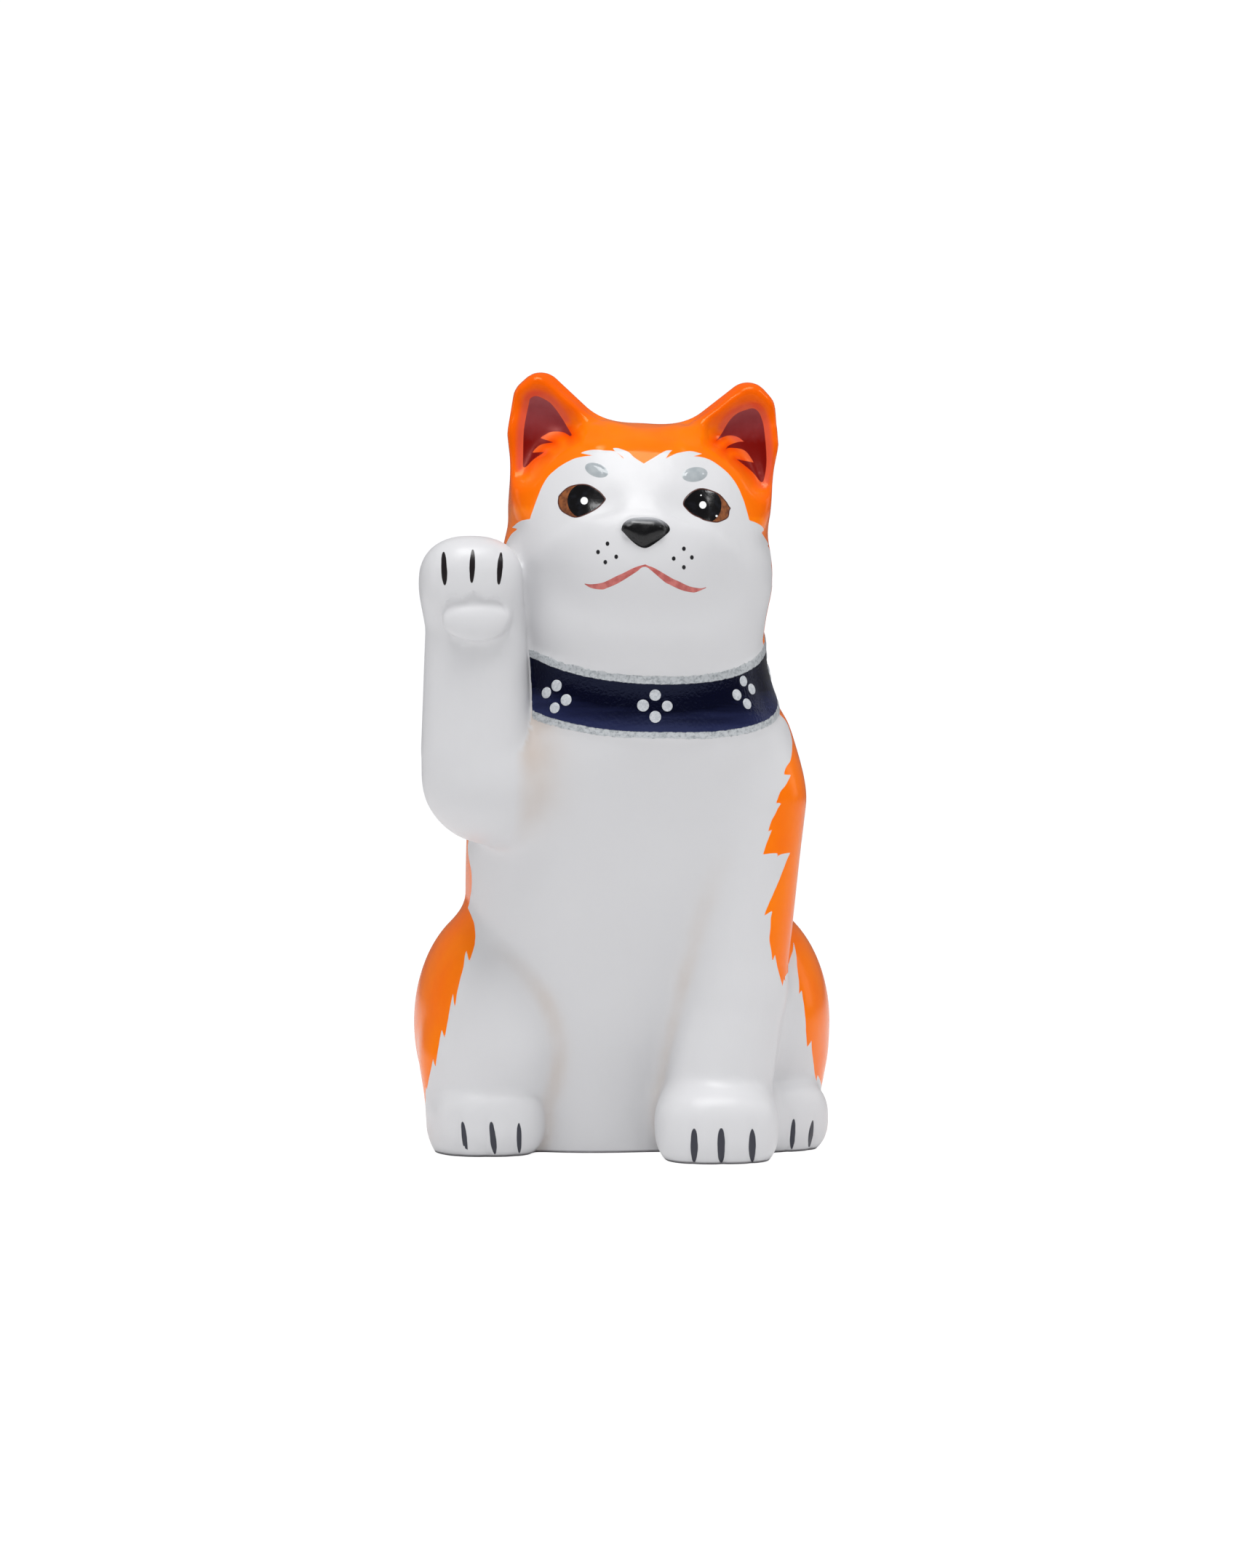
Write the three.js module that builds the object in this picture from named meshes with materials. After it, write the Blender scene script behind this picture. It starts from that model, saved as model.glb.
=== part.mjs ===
// Beckoning dog figurine, one slip cast piece about 155 mm tall.
// The dog sits on its haunches and faces -Y. Its left side is +X, so the raised right arm is on -X.
// Lengths are in mm, +Z is up, and the origin ends at the middle of the flat underside.
//
// The skin of the casting is where a distance field is zero. Each limb is a simple rounded solid, and
// neighbours run into each other over a stated blend length, as slip cast forms do.

import * as THREE from "three";

const FACETS = 9600; // triangles of the finished solid
const GRID = 1.35; // spacing of the first mesh, before it is thinned

// Trunk and neck in level sections: height, middle in x, half width, front in y, back in y
const TRUNK = [
  [-8, 1.2, 30.5, -11.6, 38],
  [0, 1.2, 30.5, -12, 39],
  [12, 1.2, 30.5, -14.3, 40],
  [25, 1.2, 30.7, -18.4, 39],
  [38, 0.9, 31.2, -22.3, 36],
  [47, 0.6, 32, -25.1, 33],
  [58, 0.9, 32.8, -28.3, 29.5],
  [69, 1, 32.9, -31.8, 26],
  [78, 1, 32.4, -34.8, 23],
  [85, 0.8, 30.4, -35.6, 21],
  [91, 0.2, 27.5, -35.3, 19.5],
  [97, -0.1, 25.9, -34.8, 17.8],
  [104, -0.1, 24.9, -34.5, 16.4],
  [114, -0.1, 24.9, -34, 15],
];
const TRUNK_SQUARE = 2.35; // 2 is an oval section, more is squarer
const TRUNK_TOP = 110; // the trunk ends inside the head
const CHEST_HOLLOW = { at: [1, -45.5, 63], radii: [15, 14, 20], blend: 7 }; // between the two shoulders

// Hind legs, mirrored about x = HIND_MIDDLE: thigh, then a shin on either side
const HIND_MIDDLE = 1.1;
const THIGH = { at: [25.9, 8.5, 24.8], radii: [16.8, 26, 24.8], blend: 3.5 };
const RIGHT_SHIN = { from: [-29.8, -0.7, 17], to: [-29.6, -3.4, 6], radii: [11.4, 11.2], blend: 4 };
const LEFT_SHIN = { from: [29.4, 0, 17], to: [29.4, -3, 6], radii: [10.6, 10], blend: 4 };

// Feet: middle, heading in degrees, half sizes, blend with the leg above
const FOOT_SQUARE = 2.6;
const RIGHT_HIND_FOOT = { at: [-28.7, -5.5, 6.5], yaw: -11, radii: [11.4, 10.8, 8.5], blend: 1 };
const LEFT_HIND_FOOT = { at: [27.8, -8.5, 6.3], yaw: 12, radii: [11.6, 10.8, 8.7], blend: 2 };
const LEFT_FORE_FOOT = { at: [13.7, -24, 6.1], yaw: -6, radii: [12, 11.7, 9.2], blend: 2.5 };
const TOE_PITCH = 0.47; // of the foot's half width
const TOE_GROOVE = 0.35;
const TOES = { from: 0.45, over: 0.4, top: 0.4, fade: 0.5, wide: 0.8 }; // shares of depth and height

// Left foreleg, straight down from the shoulder
const FORELEG = { top: [21.2, -18.2, 70], knee: [18.6, -18.4, 33], ankle: [14.2, -20.5, 8] };
const FORELEG_RADII = [11.6, 10.1, 10.4];
const FORELEG_BLEND = 4.5;
const KNEE_BLEND = 2;

// Tail, one flat curl laid against the rump
const TAIL_MIDDLE = [0, 33];
const TAIL_BACK = 35.6;
const TAIL_CURL = {
  start: -110,
  sweep: 400,
  from: 12.5,
  to: 5,
  thick: 7.4,
  tip: 4.4,
  links: 14,
  lift: 3,
  lean: -0.14,
  blend: 1.2,
};

// Head in its own frame, turned to the dog's right and leaning a little
const HEAD = { at: [0.5, -9.5, 118.2], yaw: -9, roll: 2.5, blend: 4 };
const SKULL = { radii: [25.2, 24.5, 27], square: 2.4 };
const TEMPLE = { at: [12, -1, 9], radii: [12, 15, 13], blend: 4 };
const CHEEK = { at: [12.4, -5.6, -3], radii: [13.9, 18.6, 13], blend: 5 };
const THROAT = { at: [0, -8.5, -14.5], radii: [23, 22, 16], blend: 5 };
const MUZZLE = { at: [0, -18.5, -5], radii: [14.2, 13.8, 8.4], square: 2.2, blend: 5 };
const BRIDGE = { from: [0, -14, 11], to: [0, -23.5, 2], radii: [10.4, 7.6], flat: 0.52, blend: 6 };
const EYE_HOLLOW = { at: [8.5, -29, 10.5], radii: [2.5, 1, 2.5], blend: 4 };

// Nose, a rounded triangle pad with a domed top
const NOSE = { wide: 3.1, top: 3.6, low: 1.8, round: 1.2, lid: 1.9, lidTop: 4.3, lidRound: 1.5, soft: 1 };
const NOSE_FRONT = { y: -30, lean: 0.3, leanFrom: 2, half: 3.4, edge: 2.2, blend: 0.6 };

// Ear, a plate of five corners that is thicker at its foot, hollowed at the front. Its outline and the
// hollow's floor are corners [x, z] in the head frame.
const EAR = {
  corners: [[22.3, 23.2], [21.5, 30], [20.4, 31.1], [5.3, 18.2], [20.3, 11]],
  round: 4.4,
  edge: 3.2,
  blend: 4.5,
};
const EAR_PLATE = { y: -7.2, lean: 0.02, leanFrom: 30, tipHalf: 3.4, taper: 0.24, tip: 33, tall: 20 };
const EAR_BOWL = {
  corners: [[21.3, 15.5], [21, 27.2], [13.2, 20.9]],
  radius: 5,
  ahead: 1.4,
  rise: -0.12,
  riseFrom: 24,
  riseTall: 16,
  edge: 1.8,
};

// Collar, a raised band that rises steeply from the throat and runs more level behind the pivot
const COLLAR = {
  height: 103.4,
  tilt: 25.5,
  roll: -0.01,
  pivot: -4,
  ease: 0.7,
  soft: 8,
  half: 5.5,
  edge: 0.9,
  raised: 0.65,
};

// Raised right arm: web that ties it to neck and cheek, upper arm, chest side of the upper arm, forearm,
// its flatter front, elbow, paw and palm pad
const ARM_WEB = { from: [-25, -16, 84], to: [-26, -18.5, 112], radii: [6.5, 5.5], blend: 4 };
const UPPER_ARM = { from: [-29.8, -19, 74], to: [-20, -3, 80], radii: [9.8, 13.5], blend: 5 };
const ARM_ROOT = { from: [-30.2, -19.6, 74.1], to: [-12, -13, 76], radii: [9.9, 15], blend: 7 };
const FOREARM = { from: [-33.6, -22, 80], to: [-34.4, -24, 104], radii: [10.6, 9.2] };
const ARM_FACE = { from: [-31, -24.2, 80], to: [-31.8, -26, 104], radii: [7.8, 7], blend: 2 };
const ELBOW = { at: [-32.2, -20.6, 75.5], radii: [9.7, 10, 10], blend: 3 };
const PAW = { at: [-35.2, -26.3, 112], radii: [9.9, 10.2, 9], square: 2.4, blend: 3 };
const PALM_PAD = { at: [-35, -33.1, 104.9], radii: [6.6, 3.4, 4.6], blend: 0.8 };
const ARM_CREASE = { blend: 0.9, soft: 7, from: 86, over: 18 }; // crisp beside the collar, soft at the elbow

// Paint of the solid: the white of face and body, under a satin clear coat
const WHITE = new THREE.MeshStandardMaterial({ color: 0xe4e5e8, roughness: 0.38, metalness: 0 });

const clamp = THREE.MathUtils.clamp;
const radians = THREE.MathUtils.degToRad;
const smooth = (t) => t * t * (3 - 2 * t);

// Union of two distances that rounds the inner corner over the length k
function join(a, b, k) {
  const h = Math.max(k - Math.abs(a - b), 0) / k;
  return Math.min(a, b) - (h * h * k) / 4;
}

// The overlap of two solids and the first solid without the second, both with a rounded edge
const overlap = (a, b, k) => -join(-a, -b, k);
const carve = (a, b, k) => -join(-a, b, k);

// Ellipsoid
function ball(p, { at, radii }) {
  const q = at.map((c, i) => (p[i] - c) / radii[i]);
  const near = Math.hypot(q[0], q[1], q[2]);
  const slope = Math.hypot(q[0] / radii[0], q[1] / radii[1], q[2] / radii[2]);
  return (near * (near - 1)) / Math.max(slope, 1e-9);
}

// Ellipsoid with squarer shoulders
function pebble(p, at, radii, square) {
  let sum = 0;
  for (let i = 0; i < 3; i++) sum += Math.abs((p[i] - at[i]) / radii[i]) ** square;
  const reach = Math.max(sum ** (1 / square), 1e-6);
  return Math.hypot(p[0] - at[0], p[1] - at[1], p[2] - at[2]) * (1 - 1 / reach);
}

// Tapered limb with round ends
function limb(p, from, to, [r0, r1]) {
  const along = to.map((c, i) => c - from[i]);
  const q = p.map((c, i) => c - from[i]);
  const length2 = along[0] ** 2 + along[1] ** 2 + along[2] ** 2;
  const t = clamp((q[0] * along[0] + q[1] * along[1] + q[2] * along[2]) / length2, 0, 1);
  return Math.hypot(q[0] - t * along[0], q[1] - t * along[1], q[2] - t * along[2]) - (r0 + (r1 - r0) * t);
}

// Convex outline in a plane, negative inside
function polygon(x, z, corners) {
  let near = Infinity;
  let inside = true;
  const [a, b, c] = corners;
  const turn = Math.sign((b[0] - a[0]) * (c[1] - a[1]) - (b[1] - a[1]) * (c[0] - a[0]));
  for (let i = 0; i < corners.length; i++) {
    const from = corners[i];
    const to = corners[(i + 1) % corners.length];
    const ex = to[0] - from[0];
    const ez = to[1] - from[1];
    const wx = x - from[0];
    const wz = z - from[1];
    const t = clamp((wx * ex + wz * ez) / (ex * ex + ez * ez), 0, 1);
    near = Math.min(near, Math.hypot(wx - t * ex, wz - t * ez));
    inside = inside && turn * (ex * wz - ez * wx) > 0;
  }
  return inside ? -near : near;
}

// Coordinates of p in a frame at a point, turned by yaw about z and then leaned by roll about y
function frameAt(p, at, yaw, roll = 0) {
  const a = radians(yaw);
  const b = radians(roll);
  const qx = p[0] - at[0];
  const qy = p[1] - at[1];
  const x = qx * Math.cos(a) + qy * Math.sin(a);
  const y = qy * Math.cos(a) - qx * Math.sin(a);
  const z = p[2] - at[2];
  return [x * Math.cos(b) - z * Math.sin(b), y, x * Math.sin(b) + z * Math.cos(b)];
}

// Slopes of the trunk's four sizes at each section, for a smooth curve through all of them
const TRUNK_SLOPES = TRUNK.map((row, i) => {
  const low = TRUNK[Math.max(i - 1, 0)];
  const high = TRUNK[Math.min(i + 1, TRUNK.length - 1)];
  return row.map((_, k) => (high[k] - low[k]) / (high[0] - low[0]));
});

function trunkSizes(z) {
  let i = 0;
  while (i < TRUNK.length - 2 && z > TRUNK[i + 1][0]) i++;
  const span = TRUNK[i + 1][0] - TRUNK[i][0];
  const t = clamp((z - TRUNK[i][0]) / span, 0, 1);
  const u = 1 - t;
  return [1, 2, 3, 4].map(
    (k) =>
      u * u * (1 + 2 * t) * TRUNK[i][k] +
      t * t * (3 - 2 * t) * TRUNK[i + 1][k] +
      span * t * u * (u * TRUNK_SLOPES[i][k] - t * TRUNK_SLOPES[i + 1][k]),
  );
}

function trunk(p) {
  const [middle, half, front, back] = trunkSizes(p[2]);
  const x = Math.abs(p[0] - middle);
  const y = Math.abs(p[1] - (front + back) / 2);
  const deep = (back - front) / 2;
  const reach = ((x / half) ** TRUNK_SQUARE + (y / deep) ** TRUNK_SQUARE) ** (1 / TRUNK_SQUARE);
  return Math.max(Math.hypot(x, y) * (1 - 1 / Math.max(reach, 1e-6)), p[2] - TRUNK_TOP);
}

// A foot with three shallow grooves between its toes
function foot(p, { at, yaw, radii }) {
  const q = frameAt(p, at, yaw);
  const body = pebble(q, [0, 0, 0], radii, FOOT_SQUARE);
  const forward = clamp((-q[1] / radii[1] - TOES.from) / TOES.over, 0, 1);
  const low = clamp((TOES.top - q[2] / radii[2]) / TOES.fade, 0, 1);
  let groove = 0;
  for (const i of [-1, 0, 1]) groove += Math.exp(-(((q[0] - i * radii[0] * TOE_PITCH) / TOES.wide) ** 2));
  return body + TOE_GROOVE * groove * forward * low;
}

function hindLegs(p, d) {
  const q = [Math.abs(p[0] - HIND_MIDDLE), p[1], p[2]];
  d = join(d, ball(q, THIGH), THIGH.blend);
  for (const shin of [RIGHT_SHIN, LEFT_SHIN]) {
    d = join(d, limb(p, shin.from, shin.to, shin.radii), shin.blend);
  }
  for (const f of [RIGHT_HIND_FOOT, LEFT_HIND_FOOT]) d = join(d, foot(p, f), f.blend);
  return d;
}

function foreleg(p, d) {
  const [shoulder, knee, ankle] = FORELEG_RADII;
  let leg = limb(p, FORELEG.top, FORELEG.knee, [shoulder, knee]);
  leg = join(leg, limb(p, FORELEG.knee, FORELEG.ankle, [knee, ankle]), KNEE_BLEND);
  leg = join(leg, foot(p, LEFT_FORE_FOOT), LEFT_FORE_FOOT.blend);
  return join(d, leg, FORELEG_BLEND);
}

// The curl is a chain of short limbs along a spiral that lifts off the rump towards its tip
const TAIL = [];
for (let i = 0; i <= TAIL_CURL.links; i++) {
  const t = i / TAIL_CURL.links;
  const a = radians(TAIL_CURL.start + TAIL_CURL.sweep * t);
  const r = TAIL_CURL.from + (TAIL_CURL.to - TAIL_CURL.from) * t;
  const x = TAIL_MIDDLE[0] + r * Math.cos(a);
  const z = TAIL_MIDDLE[1] + r * Math.sin(a);
  const y = TAIL_BACK + TAIL_CURL.lift * t + TAIL_CURL.lean * (z - TAIL_MIDDLE[1]);
  TAIL.push({ at: [x, y, z], radius: TAIL_CURL.thick + (TAIL_CURL.tip - TAIL_CURL.thick) * t });
}

function tail(p, d) {
  for (let i = 0; i < TAIL.length - 1; i++) {
    const [a, b] = [TAIL[i], TAIL[i + 1]];
    d = join(d, limb(p, a.at, b.at, [a.radius, b.radius]), TAIL_CURL.blend);
  }
  return d;
}

function ear(m) {
  const outline = polygon(m[0], m[2], EAR.corners) - EAR.round;
  const y = m[1] - EAR_PLATE.y - EAR_PLATE.lean * (m[2] - EAR_PLATE.leanFrom);
  const half = EAR_PLATE.tipHalf + EAR_PLATE.taper * clamp(EAR_PLATE.tip - m[2], 0, EAR_PLATE.tall);
  const plate = overlap(outline, Math.abs(y) - half, EAR.edge);
  const floor = Math.max(polygon(m[0], m[2], EAR_BOWL.corners), 0);
  const ahead = EAR_BOWL.ahead + EAR_BOWL.rise * clamp(EAR_BOWL.riseFrom - m[2], 0, EAR_BOWL.riseTall);
  const bowl = Math.hypot(floor, y + half + ahead) - EAR_BOWL.radius;
  return carve(plate, bowl, EAR_BOWL.edge);
}

function nose(q) {
  const corners = [[-NOSE.wide, NOSE.top], [NOSE.wide, NOSE.top], [0, NOSE.low]];
  const low = polygon(q[0], q[2], corners) - NOSE.round;
  const lid = Math.hypot(Math.max(Math.abs(q[0]) - NOSE.lid, 0), q[2] - NOSE.lidTop) - NOSE.lidRound;
  const pad = join(low, lid, NOSE.soft);
  const lean = NOSE_FRONT.lean * (q[2] - NOSE_FRONT.leanFrom);
  const across = Math.abs(q[1] - NOSE_FRONT.y - lean) - NOSE_FRONT.half;
  return overlap(pad, across, NOSE_FRONT.edge);
}

function head(p) {
  const q = frameAt(p, HEAD.at, HEAD.yaw, HEAD.roll);
  const m = [Math.abs(q[0]), q[1], q[2]];
  let d = pebble(q, [0, 0, 0], SKULL.radii, SKULL.square);
  d = join(d, ball(m, TEMPLE), TEMPLE.blend);
  d = join(d, ball(m, CHEEK), CHEEK.blend);
  d = join(d, ball(q, THROAT), THROAT.blend);
  d = join(d, pebble(q, MUZZLE.at, MUZZLE.radii, MUZZLE.square), MUZZLE.blend);
  d = join(d, limb([q[0] * BRIDGE.flat, q[1], q[2]], BRIDGE.from, BRIDGE.to, BRIDGE.radii), BRIDGE.blend);
  d = carve(d, ball(m, EYE_HOLLOW), EYE_HOLLOW.blend);
  d = join(d, ear(m), EAR.blend);
  return join(d, nose(q), NOSE_FRONT.blend);
}

function collar(p, d) {
  const t = radians(COLLAR.tilt);
  const run = p[1] - COLLAR.pivot;
  const behind = (run + Math.hypot(run, COLLAR.soft)) / 2;
  const level = COLLAR.height + Math.tan(t) * (run - COLLAR.ease * behind) + COLLAR.roll * p[0];
  const off = (p[2] - level) * Math.cos(t);
  const on = clamp((COLLAR.half + COLLAR.edge - Math.abs(off)) / (2 * COLLAR.edge), 0, 1);
  return d - COLLAR.raised * smooth(on);
}

function arm(p, d) {
  for (const part of [ARM_WEB, UPPER_ARM, ARM_ROOT]) {
    d = join(d, limb(p, part.from, part.to, part.radii), part.blend);
  }
  let a = limb(p, FOREARM.from, FOREARM.to, FOREARM.radii);
  a = join(a, limb(p, ARM_FACE.from, ARM_FACE.to, ARM_FACE.radii), ARM_FACE.blend);
  a = join(a, ball(p, ELBOW), ELBOW.blend);
  a = join(a, pebble(p, PAW.at, PAW.radii, PAW.square), PAW.blend);
  a = join(a, ball(p, PALM_PAD), PALM_PAD.blend);
  const soft = smooth(clamp((ARM_CREASE.from - p[2]) / ARM_CREASE.over, 0, 1));
  return join(d, a, ARM_CREASE.blend + ARM_CREASE.soft * soft);
}

// Heights that the parts reach up or down to, and how far forward the tail reaches
const REACH = { hindLegs: 60, foreleg: 90, tail: 60, tailFront: 20, head: 70, arm: 50 };

// The whole casting, negative inside
function dog(x, y, z) {
  const p = [x, y, z];
  let d = carve(trunk(p), ball(p, CHEST_HOLLOW), CHEST_HOLLOW.blend);
  if (z < REACH.hindLegs) d = hindLegs(p, d);
  if (z < REACH.foreleg) d = foreleg(p, d);
  if (z < REACH.tail && y > REACH.tailFront) d = tail(p, d);
  if (z > REACH.head) d = join(d, head(p), HEAD.blend);
  d = collar(p, d);
  if (z > REACH.arm) d = arm(p, d);
  return d;
}

// The eight corners of a grid cell as bits, and for each pattern of inside corners whether the skin would
// pass through the cell as more than one sheet
const CORNERS = [0, 1, 2, 3, 4, 5, 6, 7];
const touching = (a, b) => [1, 2, 4].includes(a ^ b);
function pieces(corners) {
  const open = new Set(corners);
  let count = 0;
  while (open.size) {
    const queue = [open.values().next().value];
    open.delete(queue[0]);
    for (const a of queue) {
      for (const b of [...open]) {
        if (!touching(a, b)) continue;
        open.delete(b);
        queue.push(b);
      }
    }
    count++;
  }
  return count;
}
const TWO_SHEETS = Array.from({ length: 256 }, (_, pattern) => {
  const inside = CORNERS.filter((c) => (pattern >> c) & 1);
  const outside = CORNERS.filter((c) => !((pattern >> c) & 1));
  if (pieces(inside) > 1 || pieces(outside) > 1) return true;
  for (const [u, v, w] of [[1, 2, 4], [2, 4, 1], [4, 1, 2]]) {
    for (const side of [0, w]) {
      const face = [side, side + u, side + u + v, side + v].map((c) => (pattern >> c) & 1);
      if (face[0] === face[2] && face[1] === face[3] && face[0] !== face[1]) return true;
    }
  }
  return false;
});

// First mesh: one vertex in each grid cell the skin passes through, one quad across each crossed grid edge.
// A crevice too narrow for the grid is filled first, so that no cell holds two sheets.
// The lowest grid plane is the underside, so the cells below it close the base with a flat face.
function skin(field, low, high, step) {
  const n = low.map((c, i) => Math.ceil((high[i] - c) / step) + 1);
  const at = (i, k) => low[i] + k * step;
  const index = (i, j, k) => i + n[0] * (j + n[1] * k);
  const value = new Float64Array(n[0] * n[1] * n[2]);
  for (let k = 0; k < n[2]; k++) {
    for (let j = 0; j < n[1]; j++) {
      for (let i = 0; i < n[0]; i++) {
        value[index(i, j, k)] = k === 0 ? 1 : field(at(0, i), at(1, j), at(2, k));
      }
    }
  }
  let filled = 1;
  while (filled) {
    filled = 0;
    for (let k = 0; k < n[2] - 1; k++) {
      for (let j = 0; j < n[1] - 1; j++) {
        for (let i = 0; i < n[0] - 1; i++) {
          const corner = CORNERS.map((c) => index(i + (c & 1), j + ((c >> 1) & 1), k + (c >> 2)));
          const pattern = CORNERS.reduce((sum, c) => sum + (value[corner[c]] < 0 ? 1 << c : 0), 0);
          if (!TWO_SHEETS[pattern]) continue;
          const outside = corner.filter((c, b) => value[c] >= 0 && (k > 0 || b > 3));
          const least = outside.reduce((a, b) => (value[b] < value[a] ? b : a));
          value[least] = -0.05 * step;
          filled++;
        }
      }
    }
  }
  const vertexOf = new Map();
  const vertices = [];
  for (let k = 0; k < n[2] - 1; k++) {
    for (let j = 0; j < n[1] - 1; j++) {
      for (let i = 0; i < n[0] - 1; i++) {
        const sum = [0, 0, 0];
        const rim = [0, 0, 0];
        let count = 0;
        let rimCount = 0;
        let inside = 0;
        for (let c = 0; c < 8; c++) {
          const a = [c & 1, (c >> 1) & 1, c >> 2];
          const va = value[index(i + a[0], j + a[1], k + a[2])];
          if (va < 0) inside++;
          for (let axis = 0; axis < 3; axis++) {
            if (a[axis]) continue;
            const b = a.slice();
            b[axis] = 1;
            const vb = value[index(i + b[0], j + b[1], k + b[2])];
            if (va < 0 === vb < 0) continue;
            const t = va / (va - vb);
            const point = [i, j, k].map((cell, m) => at(m, cell + a[m] + t * (b[m] - a[m])));
            for (let m = 0; m < 3; m++) sum[m] += point[m];
            count++;
            if (axis < 2 && k === 0) {
              for (let m = 0; m < 3; m++) rim[m] += point[m];
              rimCount++;
            }
          }
        }
        if (inside === 0 || inside === 8) continue;
        vertexOf.set(index(i, j, k), vertices.length);
        if (k > 0) vertices.push(sum.map((s) => s / count));
        else if (rimCount) vertices.push([rim[0] / rimCount, rim[1] / rimCount, 0]);
        else vertices.push([at(0, i + 0.5), at(1, j + 0.5), 0]);
      }
    }
  }
  const faces = [];
  for (let k = 0; k < n[2] - 1; k++) {
    for (let j = 1; j < n[1] - 1; j++) {
      for (let i = 1; i < n[0] - 1; i++) {
        const here = value[index(i, j, k)] < 0;
        for (let axis = 0; axis < 3; axis++) {
          if (axis < 2 && k === 0) continue;
          const next = [i, j, k];
          next[axis]++;
          if (here === value[index(next[0], next[1], next[2])] < 0) continue;
          const [u, v] = [(axis + 1) % 3, (axis + 2) % 3];
          const ring = [[1, 1], [0, 1], [0, 0], [1, 0]].map(([du, dv]) => {
            const cell = [i, j, k];
            cell[u] -= du;
            cell[v] -= dv;
            return vertexOf.get(index(cell[0], cell[1], cell[2]));
          });
          if (!here) ring.reverse();
          faces.push([ring[0], ring[1], ring[2]], [ring[0], ring[2], ring[3]]);
        }
      }
    }
  }
  return { vertices, faces };
}

const PROBE = 0.05; // step over which the slope of the field is taken
const UNDERSIDE_DEPTH = 0.8; // vertices of the underside deeper inside than this stay where they are
const LOWEST = 0.02; // of a vertex that isn't in the underside
const FLATTEST = 0.05; // squared slope below which a step isn't made longer

// Moves each vertex onto the skin along the slope of the field; those of the underside stay in its plane
function settle(vertices, field, rounds, most) {
  const e = PROBE;
  for (const p of vertices) {
    for (let round = 0; round < rounds; round++) {
      const [x, y, z] = p;
      const d = field(x, y, z);
      if (z === 0 && d < -UNDERSIDE_DEPTH) break;
      const g = [
        (field(x + e, y, z) - field(x - e, y, z)) / (2 * e),
        (field(x, y + e, z) - field(x, y - e, z)) / (2 * e),
        z === 0 ? 0 : (field(x, y, z + e) - field(x, y, z - e)) / (2 * e),
      ];
      const move = clamp(d / Math.max(g[0] ** 2 + g[1] ** 2 + g[2] ** 2, FLATTEST), -most, most);
      for (let i = 0; i < 3; i++) p[i] -= move * g[i];
      if (z !== 0) p[2] = Math.max(p[2], LOWEST);
    }
  }
}

const cross = (a, b) => [a[1] * b[2] - a[2] * b[1], a[2] * b[0] - a[0] * b[2], a[0] * b[1] - a[1] * b[0]];
const minus = (a, b) => [a[0] - b[0], a[1] - b[1], a[2] - b[2]];
const dot = (a, b) => a[0] * b[0] + a[1] * b[1] + a[2] * b[2];

const TURN_LIMIT = 0.35; // cosine of the most that a face may turn in one merge
const SLIVER_LIMIT = 0.12; // least doubled area of a face over its longest edge squared
const STRAY_LIMIT = 1.2; // furthest that a merged vertex lies from the edge's middle, in edge lengths
const LENGTH_COST = 1e-4; // makes short edges go first where the skin is flat
const NEW_STAMP = 100000; // marks the entries of the heap that a merge has made old

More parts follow.
